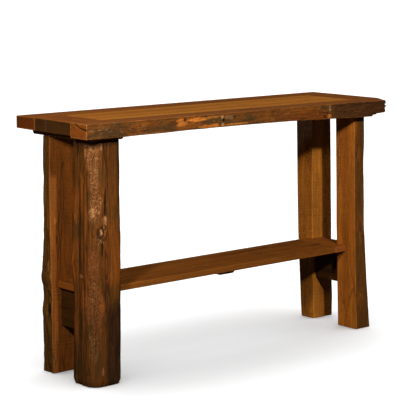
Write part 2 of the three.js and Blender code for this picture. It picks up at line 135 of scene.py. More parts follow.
class Timber:
    """One piece of wood. Its local axes run along the grain, across the face and through the
    thickness; lengths are in millimetres until the mesh is made."""

    def __init__(
        self, node, axes, section, span=None, corner=2.0, step=4.0, spacing=4.0, end_round=2.0, dense=()
    ):
        """section gives the sides of the piece at a place along the grain: low and high across the
        face, low and high through the thickness. dense lists (from, to, step) for finer rings."""
        self.node = node
        self.order = ["xyz".index(letter) for letter in axes]
        low, high = drawn_box(node)
        self.span = span or (low[self.order[0]], high[self.order[0]])
        # Noise of its own for each piece, from its name.
        self.seed = sum(ord(letter) * (i + 1) for i, letter in enumerate(node)) % 9973
        self.sweep(section, corner, step, spacing, end_round, dense)
        self.rest_local = self.local.copy()
        self.masks = {name: np.zeros(len(self.local)) for name in MASKS}
        self.mark_edges()

    def sweep(self, section, corner, step, spacing, end_round, dense):
        """Rings of points along the grain, each a rectangle with rounded corners, and two end faces."""
        start, stop = self.span
        first_round, last_round = end_round if isinstance(end_round, tuple) else (end_round, end_round)
        along = np.linspace(start, stop, max(8, int(round((stop - start) / step))) + 1)
        along = np.concatenate([along, start + first_round * ROUNDING, stop - last_round * ROUNDING])
        for low, high, fine in dense:
            along = np.concatenate([along, np.arange(low, high, fine)])
        along = np.unique(np.round(along, 2))
        sides = np.array([section(u) for u in along], float)
        edge = np.minimum(along - start, stop - along)
        rounding = np.where(along < (start + stop) / 2, first_round, last_round)
        curve = np.sqrt(np.maximum(rounding**2 - (rounding - edge) ** 2, 0))
        inset = np.where(edge < rounding, rounding - curve, 0.0)
        half_a = (sides[:, 1] - sides[:, 0]) / 2 - inset
        half_b = (sides[:, 3] - sides[:, 2]) / 2 - inset
        mid_a = (sides[:, 0] + sides[:, 1]) / 2
        mid_b = (sides[:, 2] + sides[:, 3]) / 2
        on_a = max(3, int(np.median(half_a) * 2 / spacing))
        on_b = max(3, int(np.median(half_b) * 2 / spacing))
        turn = np.linspace(0, math.pi / 2, max(3, int(corner * math.pi / 2 / spacing) + 2))
        # Each ring point has its place on a flat side or its corner, and the way it faces.
        places, facing = [], []
        flats = [np.linspace(-1, 1, count + 1)[1:-1] for count in (on_a, on_b)]
        for side, normal in enumerate([(0, -1), (1, 0), (0, 1), (-1, 0)]):
            flat = flats[side % 2] if side < 2 else flats[side % 2][::-1]
            places += [(q, normal[1]) if side % 2 == 0 else (normal[0], q) for q in flat]
            facing += [normal] * len(flat)
            places += [[(1, -1), (1, 1), (-1, 1), (-1, -1)][side]] * len(turn)
            facing += [(math.cos(angle), math.sin(angle)) for angle in turn + (side - 1) * math.pi / 2]
        places, facing = np.array(places, float), np.array(facing, float)
        ring = len(places)
        radius = np.minimum(corner, np.minimum(half_a, half_b) * 0.98)[:, None]
        core = np.stack([half_a[:, None] - radius, half_b[:, None] - radius], 2)
        outline = core * places[None] + radius[..., None] * facing[None]
        across, thick = mid_a[:, None] + outline[..., 0], mid_b[:, None] + outline[..., 1]
        body = np.stack([np.repeat(along[:, None], ring, 1), across, thick], 2)
        normals = np.zeros_like(body)
        normals[..., 1:] = facing[None]
        tilt = np.clip(1 - edge / rounding, 0, 1)[:, None]
        normals[..., 0] = np.where((along < (start + stop) / 2)[:, None], -tilt, tilt)
        normals /= np.linalg.norm(normals, axis=2, keepdims=True)
        shrink = np.linspace(1, 0, max(4, int(np.median(half_b) / spacing) + 2))[1:-1]
        ends = []
        for end, direction, order in ((0, -1.0, shrink[::-1]), (-1, 1.0, shrink)):
            centre = np.array([along[end], mid_a[end], mid_b[end]])
            ends.append((centre, [centre + (body[end] - centre) * k for k in order], direction))
        grid = np.concatenate([ends[0][1], body, ends[1][1]])
        flat_normals = [np.tile([direction, 0.0, 0.0], (len(made), ring, 1)) for _, made, direction in ends]
        self.rings, self.ring = len(grid), ring
        self.local = np.concatenate([grid.reshape(-1, 3), [ends[0][0]], [ends[1][0]]])
        all_normals = np.concatenate([flat_normals[0], normals, flat_normals[1]]).reshape(-1, 3)
        self.normal = np.concatenate([all_normals, [[-1.0, 0, 0]], [[1.0, 0, 0]]])
        self.facing = np.concatenate([np.tile(facing, (self.rings, 1)), np.zeros((2, 2))])

    def faces(self):
        """Four-sided faces between the rings, and a fan of triangles at the middle of each end."""
        ring, rings = self.ring, self.rings
        i, j = np.meshgrid(np.arange(rings - 1), np.arange(ring), indexing="ij")
        a, b = i * ring + j, i * ring + (j + 1) % ring
        quads = np.stack([a, b, b + ring, a + ring], 2).reshape(-1, 4)
        j = np.arange(ring)
        first, base = rings * ring, (rings - 1) * ring
        start = np.stack([np.full(ring, first), (j + 1) % ring, j], 1)
        stop = np.stack([np.full(ring, first + 1), base + j, base + (j + 1) % ring], 1)
        return quads, np.concatenate([start, stop])

    def mark_edges(self):
        """Masks for the long edges, which wear, and for the two end faces."""
        corner = np.minimum(np.abs(self.facing[:, 0]), np.abs(self.facing[:, 1]))
        near_end = np.minimum(self.local[:, 0] - self.span[0], self.span[1] - self.local[:, 0])
        cap = np.abs(self.normal[:, 0]) > 0.9
        self.masks["end"] = cap.astype(float)
        worn = np.maximum(np.clip(corner * 1.6, 0, 1), ramp(near_end, 5, 0))
        self.masks["wear"] = np.where(cap, 0, worn)

    # -- places on the wood --
    def side(self, across=0, thick=0):
        """1 on the side that faces the given way, 0 on the others, soft at the corners."""
        flat = 1 - np.abs(self.normal[:, 0])
        return np.clip(self.facing @ np.array([across, thick], float), 0, 1) ** 2 * flat

    def end(self, which):
        """1 on one end face: -1 is the end where the grain starts, 1 the other."""
        return np.clip(self.normal[:, 0] * which, 0, 1)

    def field(self, size, seed=0, octaves=3):
        """Noise over the piece; size is that of its features along, across and through the wood."""
        return noise(self.rest_local, size, self.seed + seed, octaves)

    def patch(self, centre, size, ragged=0.35, soft=0.5, seed=0):
        """A ragged patch round a point; None leaves an axis out."""
        used = [i for i, c in enumerate(centre) if c is not None]
        offsets = [(self.rest_local[:, i] - centre[i]) / size[i] for i in used]
        distance = np.sqrt(sum(offset**2 for offset in offsets))
        smallest = min(size[i] for i in used)
        rough = self.field((smallest * 2.5, smallest * 0.8, smallest * 0.8), 31 + seed)
        return ramp(distance + rough * ragged, 1 + soft / 2, 1 - soft / 2)

    def line(self, points, axes, width):
        """1 along a bent line drawn across two of the axes, fading out over its width."""
        spots = self.rest_local[:, list(axes)]
        nearest = np.full(len(spots), 1e9)
        for a, b in zip(points[:-1], points[1:]):
            a, b = np.array(a, float), np.array(b, float)
            t = np.clip((spots - a) @ (b - a) / max((b - a) @ (b - a), 1e-9), 0, 1)
            nearest = np.minimum(nearest, np.linalg.norm(spots - (a + t[:, None] * (b - a)), axis=1))
        return ramp(nearest, width, width * 0.25)

    # -- ways to work the wood --
    def slant(self, start_line, stop_line, gap):
        """Cuts the two ends to lines across the piece, a gap short of what they meet."""
        start, stop = self.span
        t = (self.local[:, 0] - start) / (stop - start)
        first = np.array([start_line(a)[0] for a in self.local[:, 1]]) + gap
        last = np.array([stop_line(a)[0] for a in self.local[:, 1]]) - gap
        self.local[:, 0] = first + t * (last - first)
        self.rest_local[:, 0] = self.local[:, 0]

    def push(self, amount):
        """Moves the surface out along its normal, in millimetres; negative is inwards."""
        self.local = self.local + self.normal * np.asarray(amount)[:, None]

    def ripple(self, place, size, seed, depth, level=0.0):
        """Ups and downs this deep over a place, once it is planed down by level."""
        self.push(place * (self.field(size, seed) * depth - level))

    def mark(self, mask, amount):
        """Raises one mask of the finish to an amount, and never lowers it."""
        self.masks[mask] = np.clip(np.maximum(self.masks[mask], amount), 0, 1)

    def furrow(self, place, depth, size, seed, shade=0.0):
        """Ridges and hollows over a place; painted shade darkens the hollows."""
        field = self.field(size, seed)
        self.push(place * field * depth)
        self.masks["dark_and_shade"] = np.clip(self.masks["dark_and_shade"] + place * ramp(field, 0.0, -0.55) * shade, 0, 1)

    def gouge(self, place, depth, mask=None, amount=1.0):
        """Takes wood away over a place, and marks what is laid bare."""
        self.push(-place * depth)
        if mask:
            self.mark(mask, place * amount)

    def make(self, name, material, slot):
        """The finished piece: mesh, vertex attributes, material, and its place in the frame."""
        world = np.zeros_like(self.local)
        world[:, self.order] = self.local
        world = np.clip(world * MM, np.array(cad_low), np.array(cad_high))
        quads, fans = self.faces()
        if np.linalg.det(np.eye(3)[:, self.order]) < 0:
            quads, fans = quads[:, ::-1], fans[:, ::-1]
        mesh = bpy.data.meshes.new(name)
        mesh.from_pydata(world.tolist(), [], quads.tolist() + fans.tolist())
        mesh.update()
        middle = self.rest_local.mean(axis=0)
        # The heart of the tree lies outside the piece, elsewhere for each one.
        pith = np.array([self.seed * 0.37, 90 + self.seed % 61, 60 + self.seed % 83])
        grain = mesh.attributes.new("grain", "FLOAT_VECTOR", "POINT")
        placed = (self.rest_local - middle * [0, 1, 1] + pith) * MM
        grain.data.foreach_set("vector", placed.astype(np.float32).ravel())
        for mask, values in self.masks.items():
            layer = mesh.attributes.new(mask, "FLOAT", "POINT")
            layer.data.foreach_set("value", values.astype(np.float32))
        mesh.shade_smooth()
        piece = bpy.data.objects.new(name, mesh)
        bpy.context.scene.collection.objects.link(piece)
        piece.data.materials.append(material)
        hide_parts(self.node)
        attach(piece, ROOT)
        return piece


def run(stations):
    """A line through (place, value, value...) stations, straight between them."""
    table = np.array(stations, float)
    return lambda u: np.array([np.interp(u, table[:, 0], table[:, i]) for i in range(1, table.shape[1])])


# ---------------------------------------------------------------- finishes
def colour(hex_code):
    """Linear RGBA from a paint-chart colour written as RRGGBB."""
    parts = [int(hex_code[i : i + 2], 16) / 255 for i in (0, 2, 4)]
    return tuple(c / 12.92 if c < 0.04045 else ((c + 0.055) / 1.055) ** 2.4 for c in parts) + (1.0,)


class Nodes:
    """Adds nodes to one tree and joins them up. A value may be a number, a colour or a socket."""

    MIX_SOCKETS = (0, 6, 7)  # of a colour Mix node: the amount and the two colours
    MIXED = 2  # its colour output

    def __init__(self, tree):
        self.tree = tree

    def feed(self, socket, value):
        if isinstance(value, bpy.types.NodeSocket):
            self.tree.links.new(value, socket)
        else:
            socket.default_value = value

    def add(self, kind, inputs=None, **settings):
        node = self.tree.nodes.new("ShaderNode" + kind)
        for key, value in settings.items():
            setattr(node, key, value)
        for label, value in (inputs or {}).items():
            self.feed(node.inputs[label], value)
        return node

    def math(self, operation, a, b=0.0):
        return self.add("Math", {0: a, 1: b}, operation=operation).outputs[0]

    def stretch(self, vector, scale):
        return self.add("VectorMath", {0: vector, 1: scale}, operation="MULTIPLY").outputs[0]

    def noise(self, vector, detail=2.0, roughness=0.5, scale=1.0, distortion=0.0):
        inputs = {"Vector": vector, "Scale": scale, "Detail": detail, "Roughness": roughness}
        return self.add("TexNoise", inputs | {"Distortion": distortion}).outputs["Fac"]

    def ramp(self, value, low, high, to_low=0.0, to_high=1.0):
        inputs = {"Value": value, "From Min": low, "From Max": high, "To Min": to_low, "To Max": to_high}
        return self.add("MapRange", inputs, interpolation_type="SMOOTHSTEP").outputs[0]

    def mix(self, amount, first, second, blend="MIX"):
        node = self.add("Mix", data_type="RGBA", blend_type=blend)
        for socket, value in zip(self.MIX_SOCKETS, (amount, first, second)):
            self.feed(node.inputs[socket], value)
        return node.outputs[self.MIXED]

    def group(self, tree, inputs):
        node = self.add("Group", node_tree=tree)
        for label, value in inputs.items():
            self.feed(node.inputs[label], value)
        return node.outputs

    def send(self, shader, kind="Material"):
        """Makes a shader the surface of the material, or of the world."""
        self.feed(self.add("Output" + kind).inputs["Surface"], shader.outputs[0])


def bare_material(name):
    """A new material without nodes, and what adds them to it."""
    material = bpy.data.materials.new(name)
    material.use_nodes = True
    material.node_tree.nodes.clear()
    return material, Nodes(material.node_tree)


def node_group(name, inputs, outputs, build):
    """A shared effect: inputs are (name, default), outputs are names of values."""
    tree = bpy.data.node_groups.new(name, "ShaderNodeTree")
    for label, default in inputs:
        kind = "NodeSocketVector" if isinstance(default, tuple) else "NodeSocketFloat"
        tree.interface.new_socket(label, in_out="INPUT", socket_type=kind).default_value = default
    for label in outputs:
        tree.interface.new_socket(label, in_out="OUTPUT", socket_type="NodeSocketFloat")
    nodes = Nodes(tree)
    source = tree.nodes.new("NodeGroupInput")
    target = tree.nodes.new("NodeGroupOutput")
    for label, value in build(nodes, source.outputs).items():
        nodes.feed(target.inputs[label], value)
    return tree


def build_figure(nodes, given):
    """Growth rings round a pith, broad bands, streaks, fine fibres and pores, all along the grain."""
    grain = given["Grain"]
    slow = nodes.stretch(grain, (1.6, 11, 11))
    sway = nodes.add("TexNoise", {"Vector": slow, "Detail": 2.0}).outputs["Color"]
    centred = nodes.add("VectorMath", {0: sway, 1: (0.5, 0.5, 0.5)}, operation="SUBTRACT").outputs[0]
    scaled = nodes.add("VectorMath", {0: centred, "Scale": given["Sway"]}, operation="SCALE").outputs[0]
    bent = nodes.add("VectorMath", {0: grain, 1: scaled}, operation="ADD").outputs[0]
    flat = nodes.stretch(bent, (0.02, 1, 1))
    radius = nodes.add("VectorMath", {0: flat}, operation="LENGTH").outputs["Value"]
    turns = nodes.math("DIVIDE", radius, given["Ring Width"])
    ring = nodes.math("FRACT", turns)
    late = nodes.math("MULTIPLY", nodes.ramp(ring, 0.35, 0.92), nodes.ramp(ring, 1.0, 0.94))
    uneven = nodes.noise(nodes.stretch(grain, (2.5, 45, 45)), 2.0)
    return {
        "Rings": nodes.math("MULTIPLY", late, nodes.ramp(uneven, 0.25, 0.7)),
        "Bands": nodes.ramp(nodes.noise(nodes.stretch(bent, (0.9, 26, 26)), 3.0), 0.3, 0.7),
        "Streaks": nodes.ramp(nodes.noise(nodes.stretch(bent, (3.0, 150, 150)), 3.0, 0.6), 0.3, 0.7),
        "Fibres": nodes.noise(nodes.stretch(grain, (16, 900, 900)), 2.0, 0.6),
        "Pores": nodes.ramp(nodes.noise(nodes.stretch(grain, (55, 1100, 1100)), 1.0), 0.64, 0.72),
    }


def build_saw(nodes, given):
    """Scratches that a saw leaves across the grain, fading in and out."""
    grain = given["Grain"]
    slant = nodes.add("VectorMath", {0: grain, 1: (1, 0.06, 0.04)}, operation="DOT_PRODUCT").outputs["Value"]
    wander = nodes.math("MULTIPLY", nodes.noise(nodes.stretch(grain, (5, 16, 16)), 1.0), 0.006)
    along = nodes.math("DIVIDE", nodes.math("ADD", slant, wander), given["Spacing"])
    line = nodes.add("CombineXYZ", {0: along}).outputs[0]
    strokes = nodes.ramp(nodes.noise(line, 2.0, 0.7), 0.32, 0.68)
    patchy = nodes.ramp(nodes.noise(nodes.stretch(grain, (7, 22, 22)), 2.0), 0.3, 0.62)
    return {"Strokes": nodes.math("MULTIPLY", strokes, patchy)}


def build_weather(nodes, given):
    """Blotches of grey patina and of dark grime, longer along the grain than across it."""
    grain, cover = given["Grain"], given["Cover"]
    broad = nodes.noise(nodes.stretch(grain, (7, 20, 20)), 4.0, 0.6)
    flecks = nodes.noise(nodes.stretch(grain, (60, 240, 240)), 3.0, 0.65)
    mixed = nodes.math("ADD", nodes.math("MULTIPLY", broad, 0.72), nodes.math("MULTIPLY", flecks, 0.28))
    edge = nodes.math("SUBTRACT", 0.72, nodes.math("MULTIPLY", cover, 0.42))
    grime = nodes.noise(nodes.stretch(grain, (13, 55, 55)), 4.0, 0.7)
    return {
        "Patina": nodes.ramp(mixed, edge, nodes.math("ADD", edge, 0.12)),
        "Grime": nodes.ramp(grime, 0.5, 0.72),
        "Flecks": nodes.ramp(flecks, 0.62, 0.74),
    }


def build_cracks(nodes, given):
    """Fine drying cracks along the grain."""
    grain = given["Grain"]
    bend = nodes.noise(nodes.stretch(grain, (6, 40, 40)), 1.0)
    long_cells = nodes.stretch(grain, (2.6, 62, 62))
    moved = nodes.add("VectorMath", {0: long_cells, 1: bend}, operation="ADD").outputs[0]
    cells = nodes.add("TexVoronoi", {"Vector": moved, "Scale": 1.0}, feature="DISTANCE_TO_EDGE")
    where = nodes.ramp(nodes.noise(nodes.stretch(grain, (3, 24, 24)), 2.0), 0.62, 0.44)
    open_line = nodes.ramp(cells.outputs["Distance"], 0.05, 0.012)
    picked = nodes.math("MULTIPLY", open_line, nodes.math("SUBTRACT", 1.0, where))
    return {"Cracks": nodes.math("MULTIPLY", picked, given["Amount"])}


def build_end_grain(nodes, given):
    """What a cut end shows: checks that run out from the pith, and open pores."""
    grain = given["Grain"]
    flat = nodes.stretch(grain, (0, 1, 1))
    outward = nodes.add("VectorMath", {0: flat}, operation="NORMALIZE").outputs[0]
    reach = nodes.add("VectorMath", {0: flat}, operation="LENGTH").outputs["Value"]
    rays = nodes.add("VectorMath", {0: outward, "Scale": 34.0}, operation="SCALE").outputs[0]
    drift = nodes.add("CombineXYZ", {0: nodes.math("MULTIPLY", reach, 14.0)}).outputs[0]
    spot = nodes.add("VectorMath", {0: rays, 1: drift}, operation="ADD").outputs[0]
    checks = nodes.ramp(nodes.noise(spot, 2.0, 0.6), 0.62, 0.72)
    pores = nodes.ramp(nodes.noise(nodes.stretch(grain, (90, 700, 700)), 1.0), 0.6, 0.72)
    return {
        "Checks": nodes.math("MULTIPLY", checks, given["End"]),
        "Open Pores": nodes.math("MULTIPLY", pores, given["End"]),
    }


def build_tracks(nodes, given):
    """Winding grooves that worms left under the bark, about 2 mm wide."""
    grain = given["Grain"]
    bent = nodes.noise(nodes.stretch(grain, (90, 120, 120)), 2.0, 0.5, 1.0, 1.2)
    groove = nodes.ramp(nodes.math("ABSOLUTE", nodes.math("SUBTRACT", bent, 0.5)), 0.075, 0.02)
    crumbs = nodes.ramp(nodes.noise(nodes.stretch(grain, (200, 300, 300)), 2.0), 0.4, 0.62)
    return {
        "Tracks": nodes.math("MULTIPLY", groove, given["Eaten"]),
        "Crumbs": nodes.math("MULTIPLY", crumbs, given["Eaten"]),
    }


def build_wear(nodes, given):
    """Rubbed edges, broken up so that they don't run as an even line."""
    broken = nodes.noise(nodes.stretch(given["Grain"], (26, 90, 90)), 3.0, 0.65)
    level = nodes.math("ADD", given["Edge"], nodes.math("MULTIPLY", nodes.math("SUBTRACT", broken, 0.5), 1.7))
    return {"Worn": nodes.math("MULTIPLY", nodes.ramp(level, 0.55, 0.95), given["Amount"])}


GRAIN = ("Grain", (0.0, 0.0, 0.0))
FIGURE = node_group(
    "Wood Figure",
    [GRAIN, ("Ring Width", 0.004), ("Sway", 0.012)],
    ["Rings", "Bands", "Streaks", "Fibres", "Pores"],
    build_figure,
)
SAW_MARKS = node_group("Saw Marks", [GRAIN, ("Spacing", 0.004)], ["Strokes"], build_saw)
WEATHERING = node_group(
    "Weathering", [GRAIN, ("Cover", 0.5)], ["Patina", "Grime", "Flecks"], build_weather
)
DRYING_CRACKS = node_group("Drying Cracks", [GRAIN, ("Amount", 1.0)], ["Cracks"], build_cracks)
END_GRAIN = node_group("End Grain", [GRAIN, ("End", 0.0)], ["Checks", "Open Pores"], build_end_grain)
WORM_TRACKS = node_group("Worm Tracks", [GRAIN, ("Eaten", 0.0)], ["Tracks", "Crumbs"], build_tracks)
EDGE_WEAR = node_group("Edge Wear", [GRAIN, ("Edge", 0.0), ("Amount", 1.0)], ["Worn"], build_wear)


def timber_finish(
    name, light, deep, streak, *,
    ring_width=4.0, rings=0.5, bands=0.5, streaks=0.5, fibres=0.16,
    saw=0.0, saw_spacing=4.0, weather=0.0, grime=0.3, cracks=0.5, worn=0.35,
    patina="6B5844", worn_colour="B0703A", fresh_and_lit="B5702C", pale_and_lit="B58A5E",
    red="7A3C18", dark_and_shade="1A0D06", end="8A4C1C",
    roughness=0.55, relief=0.5, sheen=0.12,
):
    """Oiled old timber. Colours are paint-chart codes, widths are in millimetres, the rest are amounts."""
    material, nodes = bare_material(name)

    def layer(label, output="Fac"):
        return nodes.add("Attribute", attribute_name=label, attribute_type="GEOMETRY").outputs[output]

    grain = layer("grain", "Vector")
    mask = {label: layer(label) for label in MASKS}
    figure = nodes.group(FIGURE, {"Grain": grain, "Ring Width": ring_width * MM})
    cover = nodes.math("MAXIMUM", mask["old"], weather)
    old = nodes.group(WEATHERING, {"Grain": grain, "Cover": cover})
    split = nodes.group(DRYING_CRACKS, {"Grain": grain, "Amount": cracks})
    cut = nodes.group(END_GRAIN, {"Grain": grain, "End": mask["end"]})
    rubbed = nodes.group(EDGE_WEAR, {"Grain": grain, "Edge": mask["wear"], "Amount": worn})
    eaten = nodes.group(WORM_TRACKS, {"Grain": grain, "Eaten": mask["eaten"]})
    sawn = nodes.group(SAW_MARKS, {"Grain": grain, "Spacing": saw_spacing * MM})["Strokes"]
    long_face = nodes.math("SUBTRACT", 1.0, mask["end"])

    def times(value, amount):
        return nodes.math("MULTIPLY", value, amount)

    tone = nodes.mix(times(figure["Bands"], bands), colour(light), colour(deep))
    tone = nodes.mix(mask["end"], tone, colour(end))
    tone = nodes.mix(times(figure["Rings"], rings), tone, colour(streak))
    tone = nodes.mix(times(times(figure["Streaks"], long_face), streaks), tone, colour(deep))
    tone = nodes.mix(times(old["Patina"], 0.85), tone, colour(patina))
    tone = nodes.mix(times(mask["red"], 0.85), tone, colour(red))
    fibrous = nodes.ramp(figure["Fibres"], 0.25, 0.6, 0.6, 1.0)
    # Pale wood, and painted light where the pale mask carries it.
    tone = nodes.mix(times(mask["pale_and_lit"], fibrous), tone, colour(pale_and_lit))
    tone = nodes.mix(times(eaten["Crumbs"], 0.6), tone, colour(pale_and_lit))
    tone = nodes.mix(times(eaten["Tracks"], 0.75), tone, colour(red))
    fresh_tone = nodes.mix(figure["Streaks"], colour(fresh_and_lit), colour(red))
    # Fresh wood, and painted light where the fresh mask carries it.
    tone = nodes.mix(mask["fresh_and_lit"], tone, nodes.mix(0.65, fresh_tone, colour(fresh_and_lit)))
    tone = nodes.mix(rubbed["Worn"], tone, colour(worn_colour))
    tone = nodes.mix(times(old["Grime"], grime), tone, colour(dark_and_shade))
    if saw > 0:
        tone = nodes.mix(times(times(sawn, long_face), saw * 0.3), tone, colour(streak))
    tone = nodes.mix(times(figure["Pores"], 0.45), tone, colour(dark_and_shade))
    # Dark wood, and painted shade where the dark mask carries it.
    tone = nodes.mix(times(mask["dark_and_shade"], 0.9), tone, colour(dark_and_shade))
    cracked = nodes.math("MAXIMUM", split["Cracks"], cut["Checks"])
    tone = nodes.mix(cracked, tone, colour(dark_and_shade))
    shade = nodes.ramp(figure["Fibres"], 0.2, 0.8, 1 - fibres, 1 + fibres)
    grey = nodes.add("CombineColor", {0: shade, 1: shade, 2: shade}).outputs[0]
    tone = nodes.mix(1.0, tone, grey, "MULTIPLY")

    soiled = nodes.math("ADD", old["Grime"], mask["dark_and_shade"])
    dull = nodes.ramp(soiled, 0, 1, roughness, min(1.0, roughness + 0.25))
    rough = nodes.math("ADD", dull, times(figure["Streaks"], 0.1))

    # The relief; 1 is a depth of 1.2 mm.
    height = times(figure["Fibres"], 0.22)
    height = nodes.math("ADD", height, times(figure["Streaks"], 0.4))
    height = nodes.math("SUBTRACT", height, times(figure["Rings"], 0.25))
    height = nodes.math("SUBTRACT", height, times(figure["Pores"], 0.3))
    if saw > 0:
        height = nodes.math("SUBTRACT", height, times(times(sawn, long_face), saw))
    height = nodes.math("ADD", height, times(old["Flecks"], cover))
    height = nodes.math("SUBTRACT", height, times(eaten["Tracks"], 1.8))
    height = nodes.math("SUBTRACT", height, times(cracked, 1.6))
    height = nodes.math("SUBTRACT", height, times(cut["Open Pores"], 0.4))
    bump = nodes.add("Bump", {"Height": height, "Strength": relief, "Distance": 1.2 * MM})

    surface = nodes.add("BsdfPrincipled", {"Base Color": tone, "Roughness": rough})
    nodes.feed(surface.inputs["Normal"], bump.outputs["Normal"])
    nodes.feed(surface.inputs["Specular IOR Level"], sheen)
    nodes.send(surface)
    return material


def steel_finish():
    """Dull zinc-plated steel with faint turning marks and a little rust."""
    material, nodes = bare_material("plated_screw_steel")
    place = nodes.add("TexCoord").outputs["Object"]
    cloudy = nodes.noise(nodes.stretch(place, (260, 260, 260)), 3.0, 0.6)
    rust = nodes.ramp(nodes.noise(nodes.stretch(place, (90, 90, 90)), 4.0, 0.7), 0.56, 0.7)
    turned = nodes.noise(nodes.stretch(place, (40, 40, 2600)), 1.0)
    tone = nodes.mix(cloudy, colour("8E8C86"), colour("5E5A54"))
    tone = nodes.mix(nodes.math("MULTIPLY", rust, 0.6), tone, colour("5A3420"))
    metallic = nodes.ramp(rust, 0, 1, 1.0, 0.35)
    rough = nodes.ramp(cloudy, 0.2, 0.8, 0.34, 0.58)
    bump = nodes.add("Bump", {"Height": turned, "Strength": 0.25, "Distance": 0.3 * MM})
    surface = nodes.add("BsdfPrincipled", {"Base Color": tone, "Metallic": metallic, "Roughness": rough})
    nodes.feed(surface.inputs["Normal"], bump.outputs["Normal"])
    nodes.send(surface)
    return material


# ---------------------------------------------------------------- the top
SLAB_BOTTOM = 725.0
FRONT_INNER = run([(LEFT_END, -94), (RIGHT_END, -126)])  # where the front rail meets the planks
REAR_INNER = run([(LEFT_END, 78), (RIGHT_END, 88)])
END_JOINT = 499.5  # from the middle of the table to the end boards
PLANK_JOINTS = (-40.0, 22.0)
RAIL_FRONT = run(  # how far its hewn face lies behind the table's front
    [(LEFT_END, 0), (-360, 1.5), (-120, 0), (160, 2.5), (360, 0.5), (520, 2), (RIGHT_END, 1)]
)
RAIL_UNDERSIDE = run(
    [(LEFT_END, 719), (-480, 718), (-350, 718), (-200, 720), (-40, 719), (126, 718), (330, 713), (470, 708.5),
     (544, 707.5), (549, 715), (606, 717), (RIGHT_END, 719)]
)
RAIL_TOP = run([(LEFT_END, 762), (-200, 761.3), (200, 760.2), (480, 759), (RIGHT_END, 757)])

SPLINTERS = run(  # how far short of the rail's right end each height of its face breaks off
    [(717, 5), (722, 4), (730, 7.5), (733, 6), (738.5, 0), (742, 5), (745, 8), (748, 3), (752, 3), (757, 4)]
)
PLATES = [drawn_box(f"{side}_top_plate") for side in ("left", "right")]
PLATES_X = [(low[0], high[0]) for low, high in PLATES]
PLATE_FRONT = PLATES[0][0][1]


